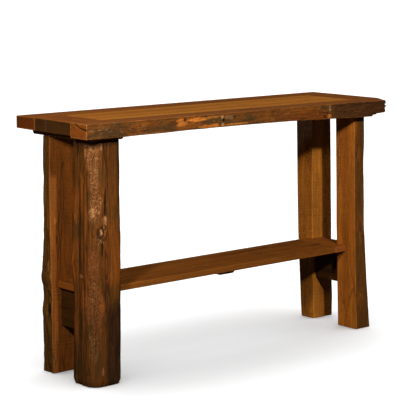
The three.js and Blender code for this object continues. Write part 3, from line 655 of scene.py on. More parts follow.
def hewn_front_rail(material):
    def section(u):
        front = FRONT_EDGE + RAIL_FRONT(u)[0] + 0.8
        return front, FRONT_INNER(u)[0] - JOINT_GAP, RAIL_UNDERSIDE(u)[0], TOP_FACE

    # Finer rings at the ends, at the step in the underside, and beside the plates.
    dense = [(LEFT_END, LEFT_END + 12, 1.2), (536, 550, 1.0), (RIGHT_END - 30, RIGHT_END, 1.2)]
    dense += [(side - 1.6, side + 1.6, 0.8) for plate in PLATES_X for side in plate]
    rail = Timber(
        "top_front_rail", "xyz", section, corner=2.6, step=2.6, spacing=2.2, end_round=1.6, dense=dense
    )
    x, z = rail.rest_local[:, 0], rail.rest_local[:, 2]
    front, top, under = rail.side(across=-1), rail.side(thick=1), rail.side(thick=-1)

    # The top falls away a little towards the worn front edge.
    fall = np.array([TOP_FACE - RAIL_TOP(u)[0] for u in x])
    rail.local[:, 2] -= fall * ramp(rail.rest_local[:, 1], -125, -172) * ramp(z, 735, 762)

    # Adze and axe work all along the face, deeper towards the splintered right end.
    rail.mark("old", front * (0.72 + 0.28 * ramp(x, 300, 420)))
    rail.ripple(front, (46, 20, 15), 1, 1.5, 0.7)
    rail.push(front * -1.5 * ramp(rail.field((26, 9, 6), 2), 0.25, 0.7))
    pocked = front * ramp(rail.field((13, 8, 6), 13, 2), 0.1, 0.5)
    rail.push(pocked * -1.1)
    rail.mark("dark_and_shade", pocked * (0.25 + 0.2 * ramp(x, -40, -160)))
    flecked = front * ramp(rail.field((9, 6, 5), 14, 2), 0.3, 0.6)
    rail.mark("pale_and_lit", flecked * (0.16 + 0.14 * ramp(x, -400, -440)))
    rail.mark("dark_and_shade", front * ramp(x, -430, -480) * (0.24 + 0.3 * rail.field((20, 12, 9), 16)))
    rail.ripple(under, (60, 24, 20), 3, 0.8)
    rail.ripple(top, (150, 40, 30), 4, 0.35)
    rail.mark("wear", top * ramp(np.abs(x - 420), 30, 0) * 0.3)

    def spot(along, height, length, tall, mask, depth=0.6, amount=1.0, ragged=0.35, seed=0):
        place = rail.patch((along, None, height), (length, 1, tall), ragged, 0.4, seed) * front
        rail.gouge(place, depth, mask, amount)

    # Fresh wood where the old face has split away, with a knot at its left.
    spot(-206, 750, 38, 6.5, "fresh_and_lit", 1.8, ragged=0.2)
    spot(-268, 749, 18, 7, "fresh_and_lit", 1.5)
    spot(-264, 740, 20, 7, "fresh_and_lit", 1.2, 0.8, 0.6)
    spot(-251, 750, 5, 5, "dark_and_shade", 3.0)
    spot(-142, 753, 32, 3.5, "fresh_and_lit", 0.8, 0.7, 0.6)
    spot(-170, 726, 30, 5, "fresh_and_lit", 1.0, 0.9, 0.6)
    spot(-134, 728, 12, 5.5, "fresh_and_lit", 1.0, 1.0, 0.5)
    spot(-50, 726, 46, 2.6, "fresh_and_lit", 0.8, 0.9, 0.5)
    spot(98, 728, 7, 2.6, "fresh_and_lit", 0.8, 0.7, 0.9)
    spot(344, 723, 9, 6, "fresh_and_lit", 1.6, 0.85, 0.7)
    spot(-350, 722, 60, 3, "fresh_and_lit", 0.5, 0.5, 0.8)
    spot(-109, 750, 3.6, 9, "pale_and_lit", 0.6)
    spot(-107, 727, 4, 7, "pale_and_lit", 0.6)
    spot(-102, 739, 5.5, 4.5, "dark_and_shade", 4.0)
    spot(-57, 746, 4, 5, "dark_and_shade", 2.0, 0.6, 0.7)
    spot(346, 747, 3.0, 10, "pale_and_lit", 1.0, 0.9, 0.8)
    spot(329, 720, 11, 5, "dark_and_shade", 2.4, 0.6, 0.8)
    # Pale flecks, each a patch of bare fibre.
    for along, height, size in [
        (-592, 742, 8), (-566, 743, 7), (-540, 744, 6), (-526, 738, 5), (-491, 738, 5),
        (-485, 732, 4), (-178, 745, 3), (-143, 741, 4), (-92, 749, 9), (-74, 746, 10),
        (24, 735, 2.6), (-455, 739, 4), (-118, 733, 3), (-408, 746, 4),
    ]:
        spot(along, height, size, size * 0.62, "pale_and_lit", 0.4, 0.3, 1.1, int(along))

    # Torn red grain, splinters lifting along it.
    torn = front * ramp(x, 95, 150) * ramp(x, 345, 305) * ramp(z, 750, 744)
    rail.mark("red", torn * (0.55 + 0.45 * ramp(rail.field((60, 6, 6), 5), -0.3, 0.3)))
    rail.ripple(torn, (34, 4.5, 4.5), 6, 2.2)
    dark_end = front * ramp(x, 340, 380)
    rail.mark("red", dark_end * 0.45)
    # The dark end is dark wood; the extra darkening towards the right end is painted shade where the light
    # falls off.
    rail.mark("dark_and_shade", dark_end * (0.4 + 0.16 * ramp(x, 480, 560) + 0.3 * rail.field((60, 12, 7), 8)))
    rail.ripple(dark_end, (30, 9, 7), 9, 2.0)
    for low, high, depth in [(-330, -280, 0.45), (-398, -345, 0.35), (-32, 60, 0.2)]:
        band = front * ramp(x, low - 20, low + 10) * ramp(x, high + 20, high - 10)
        rail.mark("dark_and_shade", band * depth * ramp(rail.field((36, 14, 10), 10), -0.5, 0.3))
    crack = [(360, 757), (402, 751), (430, 754), (478, 750), (520, 753), (RIGHT_END, 748)]
    broken = ramp(rail.field((24, 9, 9), 15), -0.35, 0.1)
    rail.gouge(rail.line(crack, (0, 2), 3.4) * front * broken, 2.4, "dark_and_shade", 0.8)
    rail.gouge(rail.line([(300, 733), (322, 734), (343, 731)], (0, 2), 2.4) * front, 1.6, "dark_and_shade")

    # The split that runs in from the top of the left end round to the face.
    left, right = rail.end(-1), rail.end(1)
    split = rail.line([(-110, 762), (-120, 757), (-138, 749), (-156, 745.5), (-175, 745)], (1, 2), 3.2) * left
    rail.gouge(split, 4.0, "dark_and_shade")
    along_face = rail.line([(LEFT_END, 745), (-603, 746), (-596, 749)], (0, 2), 2.6)
    rail.gouge(along_face * front, 1.2, "dark_and_shade", 0.5)
    rail.ripple(left, (5, 11, 11), 11, 0.5)

    # The right end was broken off, not sawn, and left its splinters.
    near_right = ramp(x, RIGHT_END - 16, RIGHT_END - 2)
    splinters = np.array([SPLINTERS(height)[0] for height in z])
    inner = 1.5 + 5.0 * np.abs(rail.field((400, 9, 5), 12))
    at_front = ramp(rail.rest_local[:, 1], -140, -160)
    rail.local[:, 0] -= near_right * (splinters * at_front + inner * (1 - at_front))
    rail.mark("dark_and_shade", right * 0.5)
    rail.mark("old", right)

    # The rail is relieved where the plates pass under its inner edge.
    for low, high in PLATES_X:
        over_plate = (x > low - 1.2) & (x < high + 1.2) & (rail.rest_local[:, 1] > PLATE_FRONT - 1)
        rail.local[over_plate, 2] = np.maximum(rail.local[over_plate, 2], SLAB_BOTTOM)
    return rail.make("hewn_front_rail", material, "hewn_rail_wood")


def rear_rail(material):
    def section(u):
        return REAR_INNER(u)[0] + JOINT_GAP, REAR_EDGE, SLAB_BOTTOM, TOP_FACE

    rail = Timber("top_rear_rail", "xyz", section, corner=2.0, step=5, spacing=3.4, end_round=1.2)
    rail.ripple(rail.side(thick=1) + rail.side(across=1), (170, 50, 30), 1, 0.5, 0.4)
    rail.ripple(rail.side(thick=-1), (60, 25, 20), 2, 0.5)
    ends = np.maximum(rail.end(-1), rail.end(1))
    rail.mark("red", ends * ramp(rail.field((500, 7, 60), 3), 0.05, 0.5) * 0.8)
    rail.mark("dark_and_shade", ends * ramp(rail.rest_local[:, 1], 160, 172) * 0.35)
    rail.mark("old", rail.side(across=1) * 0.5)
    rail.masks["wear"] *= ramp(rail.rest_local[:, 1], 90, 150)
    # Painted shade: the inner side, in the joints with the planks and end boards, is darkened.
    rail.mark("dark_and_shade", rail.side(across=-1))
    return rail.make("rear_rail", material, "frame_wood")


def top_end_board(material, which, name):
    outer, inner = (LEFT_END, -END_JOINT - JOINT_GAP) if which < 0 else (END_JOINT + JOINT_GAP, RIGHT_END)
    board = Timber(
        f"top_{name}_end_board", "yxz", lambda u: (outer, inner, SLAB_BOTTOM, TOP_FACE), span=(-94, 78),
        corner=1.6, step=4, spacing=3.2, end_round=0.8,
    )
    board.slant(FRONT_INNER, REAR_INNER, JOINT_GAP)
    board.ripple(board.side(thick=1), (70, 40, 30), 1, 0.4, 0.25)
    outside = board.side(across=which)
    board.ripple(outside, (55, 9, 7), 2, 0.8, 0.4)
    board.mark("old", outside * 0.85)
    across = board.rest_local[:, 0]
    board.mark("dark_and_shade", outside * (0.42 + 0.3 * ramp(board.field((60, 5, 5), 3), 0, 0.4)))
    board.mark("pale_and_lit", outside * ramp(np.abs(across - 24), 2.6, 0.6) * 0.35)
    board.mark("dark_and_shade", outside * ramp(across, -76, -90) * 0.55)
    board.masks["wear"] *= 0.3
    return board.make(f"{name}_end_board", material, "frame_wood")


def top_plank(material, name, front, rear):
    def section(u):
        return front(u)[0] + JOINT_GAP, rear(u)[0] - JOINT_GAP, SLAB_BOTTOM, TOP_FACE

    plank = Timber(
        f"top_{name}_plank", "xyz", section, span=(-END_JOINT + JOINT_GAP, END_JOINT - JOINT_GAP),
        corner=1.1, step=6, spacing=3.6, end_round=0.8,
    )
    plank.ripple(plank.side(thick=1), (210, 36, 30), 1, 0.5, 0.35)
    plank.ripple(plank.side(thick=-1), (90, 30, 30), 2, 0.5)
    return plank.make(f"{name}_plank", material, "plank_wood")


# ---------------------------------------------------------------- the plates and the batten
CHAMFER = 6.0


def screw_centre(screw):
    low, high = drawn_box(screw)
    return (low[0] + high[0]) / 2, (low[1] + high[1]) / 2


def seat_rows(screws):
    """Where a piece needs finer rings for its screws' seats: from, to and step."""
    reach = SEAT_RIM + 0.8
    places = sorted({round(screw_centre(screw)[1]) for screw in screws})
    return [(y - reach, y + reach, 1.2) for y in places]


def seat_screws(timber, screws, thick):
    """Round seats sunk into one face, so that the screws' heads show in them."""
    face = timber.side(thick=thick)
    for screw in screws:
        x, y = screw_centre(screw)
        away = np.hypot(timber.rest_local[:, 0] - y, timber.rest_local[:, 1] - x)
        timber.gouge(ramp(away, SEAT_RIM, SEAT_RADIUS) * face, SEAT_DEPTH, "dark_and_shade", 0.6)


def chamfered(node, name, material, screws):
    """A flat piece whose underside is chamfered at both ends, under the top or under the shelf."""
    low, high = drawn_box(node)

    def section(u):
        rise = max(0.0, CHAMFER - min(u - low[1], high[1] - u))
        return low[0], high[0], low[2] + rise, high[2]

    dense = [(low[1], low[1] + CHAMFER, 1.0), (high[1] - CHAMFER, high[1], 1.0)] + seat_rows(screws)
    piece = Timber(node, "yxz", section, corner=1.4, step=4, spacing=1.6, end_round=0.8, dense=dense)
    piece.ripple(piece.side(thick=-1), (50, 20, 20), 1, 0.5, 0.3)
    piece.ripple(piece.side(across=1) + piece.side(across=-1), (40, 12, 8), 2, 0.5, 0.3)
    seat_screws(piece, screws, -1)
    return piece.make(name, material, "plate_wood")


# ---------------------------------------------------------------- the posts
POSTS = {  # height: left, right, front and rear
    "leg_front_left": [
        (0, -568, -466, -140, -32), (14, -571, -462, -143, -30), (180, -570, -461, -141, -31),
        (262, -568, -462, -143, -31), (345, -572, -463, -145, -27), (440, -571, -464, -143, -29),
        (560, -569, -465, -140, -32), (706.4, -569, -466, -139, -34),
    ],
    "leg_front_right": [
        (0, 515, 580, -137, -50), (40, 514, 575, -137, -50), (165, 509, 563, -136, -50),
        (330, 503, 550, -136, -50), (520, 499, 543, -136, -50), (706.4, 494, 543, -136, -50),
    ],
    "leg_rear_left": [
        (0, -558, -464, 70, 123), (80, -561, -465, 70, 117), (180, -563, -466, 70, 116),
        (240, -563, -466, 70, 115), (300, -564, -466, 70, 118), (400, -565, -467, 70, 107),
        (520, -566, -468, 70, 104), (706.4, -565, -468, 70, 103),
    ],
    "leg_rear_right": [
        (0, 519, 609, 66, 126), (60, 517, 609, 66, 130), (300, 513, 607, 71, 141), (706.4, 509, 598, 72, 149),
    ],
}
SAWN_CORNER = 3.0  # about what the sawn posts' edges are rounded to
ROUND_CORNER = 38.0  # of the front left post, a log
LOG_EDGE = (-571, -143)  # its front left corner, were it square
ACROSS_LOG = np.array([0.757, -0.654])  # level, from the left side round to the front
SQUARER = run([(0, 5.5), (180, 7), (300, 7.5), (450, 8.5), (706, 11)])  # extra wood at its front right


def post(node, **detail):
    return Timber(node, "zxy", run(POSTS[node]), step=3.4, **detail)


def round_front_left_post(material):
    timber = Timber(
        "leg_front_left", "zxy", run(POSTS["leg_front_left"]), corner=ROUND_CORNER, step=2.7, spacing=2.3,
        end_round=(3.5, 0.5),
    )
    z = timber.rest_local[:, 0]
    # How far round the front left corner a point lies, from the left side to the front.
    turn = (timber.rest_local[:, 1:] - LOG_EDGE) @ ACROSS_LOG
    timber.mark("old", 0.55 * (1 - timber.masks["end"]))
    timber.masks["wear"] *= ramp(z, 8, 2)
    long_side = 1 - timber.masks["end"]
    timber.push(-0.8 * long_side)
    # The log is squarer at the corner towards the middle of the table, and a little at the one behind.
    squarer = np.array([SQUARER(height)[0] for height in z])
    for way, amount in ((ACROSS_LOG, squarer), (-ACROSS_LOG, 5.0)):
        timber.push(amount * np.clip(timber.facing @ way, 0, 1) ** 10 * long_side)
    timber.furrow(long_side, 2.6, (230, 19, 19), 1, 0.35)
    timber.furrow(long_side, 1.7, (70, 8, 8), 2, 0.35)
    timber.push(-1.6 * ramp(timber.field((120, 6, 6), 3), 0.3, 0.65) * long_side)
    timber.push(-1.8 * ramp(timber.field((34, 20, 20), 4), 0.35, 0.75) * long_side)

    def place(height, at, tall, wide, ragged=0.4, seed=0):
        rough = timber.field((18, 7, 7), 60 + seed)
        distance = np.sqrt(((z - height) / tall) ** 2 + ((turn - at) / wide) ** 2)
        return ramp(distance + rough * ragged, 1.2, 0.8) * (1 - timber.masks["end"])

    # The carved, worm-eaten strip that runs down from the top and narrows.
    centre = run([(400, 8), (446, 10), (491, -1), (540, 11), (560, 5), (609, 3), (674, -1), (706, -6)])
    half = run([(400, 4), (446, 12), (491, 16), (540, 18), (560, 11), (609, 12), (674, 19), (706, 24)])
    middle = np.array([centre(h)[0] for h in z])
    reach = np.array([half(h)[0] for h in z])
    strip = ramp(np.abs(turn - middle) + timber.field((26, 9, 9), 21) * 5, reach + 2, reach - 3)
    strip *= ramp(z, 470, 500) * (1 - timber.masks["end"])
    timber.gouge(strip, 1.6)
    timber.masks["old"] *= 1 - strip * 0.9
    timber.mark("pale_and_lit", strip * (0.16 + 0.4 * timber.field((22, 8, 8), 22)))
    timber.mark("eaten", strip * (0.75 + 0.5 * timber.field((30, 10, 10), 28)))
    timber.masks["dark_and_shade"] *= 1 - 0.8 * strip
    timber.ripple(strip, (9, 5, 5), 25, 1.2)

    # A knot with torn grey splinters, and the crack that runs down to it.
    timber.push(place(452, 19, 34, 20, 0.2) * 4.5)
    torn = ramp(timber.field((16, 3.5, 3.5), 27), -0.05, 0.3)
    knot = place(450, 22, 21, 12, 1.0)
    timber.gouge(knot * (1 - torn), 3.6, "dark_and_shade", 0.85)
    timber.push(knot * torn * 1.5)
    timber.mark("pale_and_lit", knot * torn * 0.9)
    timber.mark("eaten", place(430, 14, 16, 13, 0.9, 15) * 0.8)
    timber.push(place(480, 34, 17, 4.5, 0.3, 2) * 2.0)
    timber.mark("pale_and_lit", place(480, 34, 16, 4.5, 0.3, 2))
    timber.mark("pale_and_lit", place(420, 26, 4.5, 4, 0.2, 3))
    timber.mark("pale_and_lit", place(505, -1, 13, 9, 0.5, 4) * 0.9)
    timber.gouge(place(535, 35, 42, 2.6, 0.25, 5), 2.6, "dark_and_shade")
    timber.gouge(place(405, 27, 26, 2.8, 0.3, 6), 2.0, "dark_and_shade")

    # Redder wood below, with more tracks. Painted shade darkens the lower right side and the lower part
    # towards the foot, and the right side is darker higher up.
    low_red = np.maximum(place(338, -2, 62, 17, 0.5, 7), place(240, 0, 62, 33, 0.45, 8))
    timber.mark("red", low_red * 0.5)
    tracked = np.maximum(low_red, place(122, 0, 46, 15, 0.5, 9))
    timber.mark("eaten", tracked * (0.45 + 0.5 * timber.field((30, 12, 12), 29)))
    timber.ripple(tracked, (9, 5, 5), 26, 1.0)
    timber.mark("fresh_and_lit", place(245, 26, 28, 4.5, 0.9, 10) * 0.6)
    timber.mark("fresh_and_lit", place(258, -24, 24, 4.5, 0.9, 11) * 0.5)
    blotched = 0.84 + 0.3 * timber.field((90, 10, 10), 24)
    # Painted shade on the lower right side.
    timber.mark("dark_and_shade", ramp(turn, 26, 44) * ramp(z, 290, 205) * blotched)
    # Painted shade, stronger towards the foot.
    timber.mark("dark_and_shade", long_side * ramp(z, 320, 70) * (0.46 + 0.4 * timber.field((60, 9, 9), 30)))
    timber.mark("dark_and_shade", ramp(turn, 26, 38) * ramp(z, 520, 640) * 0.34)
    timber.mark("fresh_and_lit", ramp(turn, 22, 36) * ramp(z, 500, 420) * ramp(z, 270, 320) * 0.34)
    bare_side = ramp(turn, -12, -28) * ramp(z, 640, 520) * ramp(z, 60, 200)
    timber.mark("fresh_and_lit", bare_side * ramp(timber.field((90, 9, 9), 23), -0.3, 0.3) * 0.62)
    # Painted shadow of the top: a dark band round the post just under it.
    timber.mark("dark_and_shade", long_side * ramp(z, 680, 697) * 0.7)
    timber.mark("pale_and_lit", place(690, 24, 9, 3, 0.2, 12) * 0.8)
    timber.mark("pale_and_lit", place(318, -38, 5, 6, 0.3, 13) * 0.8)
    timber.mark("pale_and_lit", place(46, 26, 12, 3, 0.3, 14) * 0.7)
    return timber.make("front_left_post", material, "round_post_wood")


def wavy_rear_left_post(material):
    timber = post("leg_rear_left", corner=3.2, spacing=3.0, end_round=2.4)
    z, x = timber.rest_local[:, 0], timber.rest_local[:, 1]
    outer, front = timber.side(across=-1), timber.side(thick=-1)
    bark = np.clip(outer * 1.6, 0, 1)
    timber.mark("old", outer)
    timber.furrow(bark, 2.2, (58, 26, 26), 1, 0.2)
    timber.furrow(bark, 2.2, (34, 7, 7), 2, 0.4)
    for height, out in [(283, 4.0), (182, 2.5), (228, -2.0), (610, 1.0)]:
        timber.push(bark * ramp(np.abs(z - height), 26, 4) * out)
    timber.mark("dark_and_shade", outer * (0.15 + 0.35 * timber.field((70, 12, 12), 3)))
    timber.gouge(timber.patch((190, None, 84), (20, 1, 9)) * outer, 4.0, "dark_and_shade")
    timber.mark("pale_and_lit", timber.patch((322, None, 82), (16, 1, 4), 0.6) * outer * 0.8)
    timber.ripple(timber.side(across=1), (80, 26, 26), 4, 1.6)
    timber.ripple(timber.side(thick=1), (90, 30, 30), 5, 1.6, 0.6)
    timber.ripple(front, (160, 30, 30), 6, 0.5, 0.3)
    # Painted light: a faint band down the left edge of the front, where the key light falls below the top's
    # shadow.
    timber.mark("fresh_and_lit", front * ramp(x, -541, -547) * ramp(z, 590, 570) * ramp(z, 150, 185) * 0.1)
    timber.gouge(timber.patch((398, -541, None), (13, 4, 1), 0.4) * front, 1.2, "dark_and_shade", 0.7)
    timber.mark("pale_and_lit", timber.patch((455, -546, None), (8, 6, 1), 1.2) * front * 0.35)
    # Mottled painted shade over that same left edge of the front, dimming the key light there.
    timber.mark("dark_and_shade", front * ramp(x, -541, -547) * (0.1 + 0.2 * timber.field((40, 8, 8), 8)))
    return timber.make("rear_left_post", material, "sawn_post_wood")


def sawn_rear_right_post(material):
    timber = post("leg_rear_right", corner=2.4, spacing=3.2, end_round=2.0)
    z = timber.rest_local[:, 0]
    outer, front = timber.side(across=-1), timber.side(thick=-1)
    timber.ripple(outer, (90, 24, 24), 1, 0.9, 0.4)
    timber.ripple(front, (160, 30, 30), 2, 0.5, 0.3)
    timber.ripple(timber.side(across=1), (70, 22, 22), 3, 2.6, 1.2)
    timber.ripple(timber.side(thick=1), (90, 30, 30), 4, 1.2, 0.6)
    # Painted light: pale grey over the top of the left face, where the slab's shadow falls, lifts that
    # shadow.
    lifted_shadow = outer * ramp(z + timber.rest_local[:, 2] * 0.9, 670, 730)
    timber.mark("pale_and_lit", lifted_shadow * (0.75 + 0.5 * timber.field((12, 30, 30), 5)))
    timber.mark("old", timber.side(across=1))
    return timber.make("rear_right_post", material, "sawn_post_wood")


def flared_front_right_post(material):
    timber = post("leg_front_right", corner=3.0, spacing=2.8, end_round=2.2)
    z = timber.rest_local[:, 0]
    outer, front, inner = timber.side(across=-1), timber.side(thick=-1), timber.side(across=1)
    timber.ripple(outer, (150, 30, 30), 1, 0.5, 0.3)
    timber.ripple(inner, (70, 22, 22), 2, 2.6, 1.0)
    timber.ripple(front, (60, 14, 14), 3, 1.4, 0.6)
    timber.ripple(timber.side(thick=1), (90, 30, 30), 4, 1.2, 0.6)
    timber.mark("old", front * 0.88)
    timber.mark("old", inner)
    # The front is darker wood, darker towards the foot; the extra at its top is painted shadow under the top.
    dark_front_and_top_shadow = 0.2 + 0.1 * ramp(z, 560, 640) + 0.1 * ramp(z, 120, 60)
    timber.mark("dark_and_shade", front * (dark_front_and_top_shadow + 0.3 * timber.field((110, 12, 12), 5)))
    timber.gouge(timber.patch((580, 507, None), (14, 3, 1), 0.5) * front, 1.5, "dark_and_shade", 0.8)
    timber.gouge(timber.patch((338, 532, None), (20, 8, 1), 0.5) * front, 1.2, "dark_and_shade", 0.5)
    timber.mark("fresh_and_lit", outer * 0.22 * ramp(timber.field((200, 24, 24), 6), -0.1, 0.4))
    return timber.make("front_right_post", material, "sawn_post_wood")


# ---------------------------------------------------------------- the shelf
def post_side(node, height, which):
    """How far a post reaches in x at a height, as a function of y; which is -1 for its left side."""
    left, right, front, rear = run(POSTS[node])(height)
    corner = ROUND_CORNER if node == "leg_front_left" else SAWN_CORNER
    edge = right if which > 0 else left

    def reach(y):
        into = min(y - front, rear - y)
        if into < 0:
            return None
        lost = corner - math.sqrt(corner**2 - max(0.0, corner - into) ** 2)
        return edge - which * lost

    return reach


SHELF_LOW, SHELF_HIGH = (corner[2] for corner in drawn_box("shelf_middle_plank"))
BETWEEN_POSTS = {"left": (-31, 70), "right": (-50, 71)}  # clear, from front to rear, at the end rails


def shelf_end_board(material, which, name):
    node = f"shelf_{name}_end_board"
    low, high = drawn_box(node)
    posts = [post_side(f"leg_{row}_{name}", SHELF_HIGH, -which) for row in ("front", "rear")]

    def section(u):
        left, right = low[0], high[0]
        for reach in posts:
            edge = reach(u)
            if edge is not None and which < 0:
                left = max(left, edge - SCRIBED_IN)
            elif edge is not None:
                right = min(right, edge + SCRIBED_IN)
        return left, right, SHELF_LOW, SHELF_HIGH

    screws = [f"shelf_screw_{name}_{i}" for i in (1, 2)]
    dense = [(-70, -28, 1.2), (64, 74, 0.6), (-52, -48, 0.6)] + seat_rows(screws)
    board = Timber(node, "yxz", section, corner=1.6, step=4, spacing=1.8, end_round=1.0, dense=dense)
    board.ripple(board.side(thick=1), (80, 30, 30), 1, 0.4, 0.3)
    board.ripple(board.side(across=which), (50, 12, 8), 2, 0.6, 0.3)
    seat_screws(board, screws, 1)
    return board.make(f"shelf_{name}_end", material, "shelf_end_wood")


def shelf_plank(material, name):
    node = f"shelf_{name}_plank"
    low, high = drawn_box(node)
    sides = low[1], high[1], low[2], high[2]
    plank = Timber(node, "xyz", lambda u: sides, corner=1.2, step=6, spacing=3.6, end_round=0.8)
    plank.ripple(plank.side(thick=1), (200, 30, 30), 1, 0.4, 0.3)
    plank.ripple(plank.side(across=-1), (60, 12, 8), 2, 0.8, 0.4)
    return plank.make(f"shelf_{name}", material, "shelf_plank_wood")


def shelf_end_rail(material, name):
    node = f"shelf_{name}_end_rail"
    low, high = drawn_box(node)
    sides = low[0], high[0], low[2], high[2]
    front, rear = BETWEEN_POSTS[name]
    span = (front - SCRIBED_IN, rear + SCRIBED_IN)
    rail = Timber(node, "yxz", lambda u: sides, span, corner=1.5, spacing=3.2)
    rail.ripple(rail.side(across=-1) + rail.side(across=1), (60, 24, 20), 1, 0.8, 0.4)
    rail.mark("old", rail.side(across=-1) * 0.5)
    return rail.make(f"shelf_{name}_rail", material, "shelf_rail_wood")


# ---------------------------------------------------------------- one finish for each kind of timber
hewn_wood = timber_finish(
    "hewn_rail_timber", "8C5019", "64370D", "442107", weather=0.15, patina="4C371C", grime=0.35, cracks=0.35,
    fresh_and_lit="C4742A", pale_and_lit="A08058", red="6C3710", end="7E430F", relief=1.0, worn=0.5, fibres=0.22,
)
frame_wood = timber_finish(
    "frame_timber", "945218", "6E3E0A", "4A2403", bands=0.65, grime=0.2, end="5E2E06", worn=0.45,
    weather=0.1, patina="382305", relief=0.7, red="602606", worn_colour="A8662C",
)
golden_wood = timber_finish(
    "golden_plank_timber", "BE7A24", "8C4E14", "623608", ring_width=5.5, bands=0.9, streaks=0.6, grime=0.1,
    cracks=0.25, worn=0.3, roughness=0.5, fibres=0.22,
)
round_wood = timber_finish(
    "round_post_timber", "6E3E0F", "4A2907", "2E1804", weather=0.35, patina="452F0A", grime=0.4, cracks=0.7,
    pale_and_lit="A8764A", red="6A310B", fresh_and_lit="985015", relief=1.0, rings=0.4, dark_and_shade="140903", worn_colour="8A5A28",
    fibres=0.36,
)
rear_left_wood = timber_finish(
    "brown_sawn_timber", "94531C", "6E3C10", "4A2608", saw=1.2, saw_spacing=3.4, patina="553A10", grime=0.25,
    fresh_and_lit="B06C22", pale_and_lit="B8803C", relief=0.9, rings=0.3, fibres=0.2,
)
rear_right_wood = timber_finish(
    "golden_sawn_timber", "BE7727", "8E5116", "5C3208", saw=1.1, saw_spacing=3.4, patina="563A14",
    grime=0.15, relief=0.9, rings=0.4, cracks=0.35, bands=0.85, worn=0.8, worn_colour="D8943C",
    pale_and_lit="C8A888", fibres=0.22,
)
front_right_wood = timber_finish(
    "orange_sawn_timber", "B6691F", "884B14", "582C08", saw=0.6, patina="5E3D16", grime=0.2,
    fresh_and_lit="C07A20", relief=0.9, rings=0.45, cracks=0.4, bands=0.85, fibres=0.22,
)
plate_wood = timber_finish(
    "plate_timber", "7A4A1A", "52300F", "301A06", grime=0.4, weather=0.2, patina="3C2A10",
)
shelf_end_wood = timber_finish("shelf_end_timber", "985418", "703E10", "4A2607", grime=0.25, worn=0.4)
shelf_wood = timber_finish(
    "shelf_plank_timber", "8C5018", "663A10", "422406", grime=0.3, saw=0.3, weather=0.15, patina="483614",
)
# Very dark: the rail's own dark wood, darkened further as painted shade for the shelf's shadow over it.
shelf_rail_wood = timber_finish(
    "shelf_rail_timber", "4C2C0A", "382005", "241202", grime=0.4, saw=0.4, patina="322406",
)

# ---------------------------------------------------------------- the pieces, in the order they are made
hewn_front_rail(hewn_wood)
rear_rail(frame_wood)
top_end_board(frame_wood, -1, "left")
top_end_board(frame_wood, 1, "right")
plank_edges = [FRONT_INNER] + [run([(0, y)]) for y in PLANK_JOINTS] + [REAR_INNER]
for name, front, rear in zip(("front", "middle", "rear"), plank_edges[:-1], plank_edges[1:]):
    top_plank(golden_wood, name, front, rear)
for name in ("left", "right"):
    screws = [f"plate_screw_{name}_{i}" for i in (1, 2, 3, 4)]
    chamfered(f"{name}_top_plate", f"{name}_plate", plate_wood, screws)
round_front_left_post(round_wood)
wavy_rear_left_post(rear_left_wood)
sawn_rear_right_post(rear_right_wood)
flared_front_right_post(front_right_wood)
for name in ("front", "middle", "rear"):
    shelf_plank(shelf_wood, name)
shelf_end_board(shelf_end_wood, -1, "left")
shelf_end_board(shelf_end_wood, 1, "right")
shelf_end_rail(shelf_rail_wood, "left")
shelf_end_rail(shelf_rail_wood, "right")
chamfered("shelf_batten", "shelf_batten_strip", plate_wood, [f"batten_screw_{i}" for i in (1, 2, 3)])

screw_steel = steel_finish()
for node, screw in frame["nodes"].items():
    if "screw" in node:
        for place in screw.material_slots:
            place.material = screw_steel


# ---------------------------------------------------------------- studio
FLOOR_DARKER, FLOOR_PALER = (0.94, 0.94, 0.94, 1), (0.97, 0.97, 0.97, 1)
FLOOR_BOUNCE = (0.05, 0.045, 0.04, 1)  # what it gives back to the table


def studio_floor():
    mesh = bpy.data.meshes.new("studio_floor")
    half, level = 40.0, -0.0005  # just clear of the feet
    corners = [(x * half, y * half, level) for x, y in ((-1, -1), (1, -1), (1, 1), (-1, 1))]
    mesh.from_pydata(corners, [], [(0, 1, 2, 3)])
    floor = bpy.data.objects.new("studio_floor", mesh)
    bpy.context.scene.collection.objects.link(floor)
    material, nodes = bare_material("pale_floor")
    place = nodes.add("TexCoord").outputs["Object"]
    mottle = nodes.noise(place, 3.0, 0.6, 6.0)
    straight = nodes.add("LightPath").outputs["Is Camera Ray"]
    seen = nodes.mix(mottle, FLOOR_DARKER, FLOOR_PALER)
    tone = nodes.mix(straight, FLOOR_BOUNCE, seen)
    surface = nodes.add("BsdfPrincipled", {"Base Color": tone, "Roughness": 0.9, "Specular IOR Level": 0.1})
    nodes.send(surface)
    mesh.materials.append(material)
    return floor


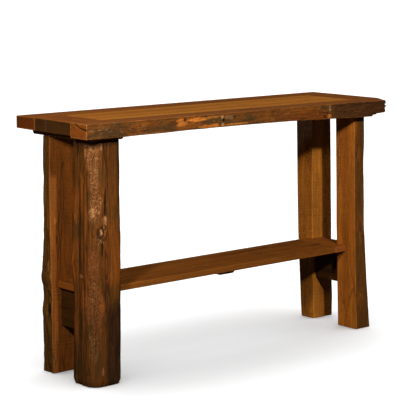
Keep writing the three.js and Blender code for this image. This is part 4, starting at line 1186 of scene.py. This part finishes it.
def lamp(name, kind, power, direction, place=(0, 0, 0), size=1.0, tint=(1, 1, 1)):
    """A lamp that shines along a direction. Its place is in metres; size is its width in metres, or a
    sun's angle in degrees."""
    data = bpy.data.lights.new(name, kind)
    data.energy = power
    data.color = tint
    if kind == "SUN":
        data.angle = math.radians(size)
    else:
        data.shape = "DISK"
        data.size = size
    light = bpy.data.objects.new(name, data)
    light.location = place
    light.visible_camera = False
    light.rotation_euler = Vector(direction).to_track_quat("-Z", "Y").to_euler()
    bpy.context.scene.collection.objects.link(light)
    return light


def studio_world():
    world = bpy.data.worlds.new("studio")
    world.use_nodes = True
    world.node_tree.nodes.clear()
    nodes = Nodes(world.node_tree)
    straight = nodes.add("LightPath").outputs["Is Camera Ray"]
    fill = nodes.add("Background", {"Color": (1.0, 0.97, 0.93, 1), "Strength": 0.012})
    white = nodes.add("Background", {"Color": (1, 1, 1, 1), "Strength": 1.0})
    nodes.send(nodes.add("MixShader", {0: straight, 1: fill.outputs[0], 2: white.outputs[0]}), "World")
    bpy.context.scene.world = world


def camera():
    data = bpy.data.cameras.new("camera")
    data.lens = 138.24
    data.sensor_width = 36.0
    data.shift_y = -0.15
    data.clip_end = 200.0
    view = bpy.data.objects.new("camera", data)
    view.location = (-3.119, -3.555, 1.218)
    view.rotation_euler = (math.radians(83.24), 0, math.radians(-40.81))
    bpy.context.scene.collection.objects.link(view)
    bpy.context.scene.camera = view


floor = studio_floor()
key = lamp("key_light", "AREA", 200.0, (1.44, 4.1, -2.35), (-1.44, -4.16, 2.93), 0.3, (1.0, 0.95, 0.87))
side = lamp("side_light", "AREA", 26.0, (1.63, 0.9, -0.75), (-1.63, -0.9, 1.21), 0.2, (1.0, 0.93, 0.83))
top_light = lamp("overhead_softbox", "AREA", 24.0, (0, 0, -1), (0.7, 0.2, 3.0), 1.6)
rear_fill = lamp("rear_fill", "AREA", 60.0, (-1.0, -1.9, 0), (1.8, 3.2, 0.4), 0.5)
rear_fill.visible_glossy = False
floor_light = lamp("floor_light", "SUN", 4.4, (0, 0, -1), size=120.0)
studio_world()
camera()
bpy.context.scene.view_settings.view_transform = "Standard"

# The table's lamps are flagged away from the floor, which has its own, so that it stays evenly pale.
table = bpy.data.collections.new("table")
ground = bpy.data.collections.new("ground")
ground.objects.link(floor)
for thing in bpy.context.scene.collection.all_objects:
    if thing.type == "MESH" and thing is not floor:
        table.objects.link(thing)
for light in (key, side, top_light, rear_fill):
    light.light_linking.receiver_collection = table
floor_light.light_linking.receiver_collection = ground
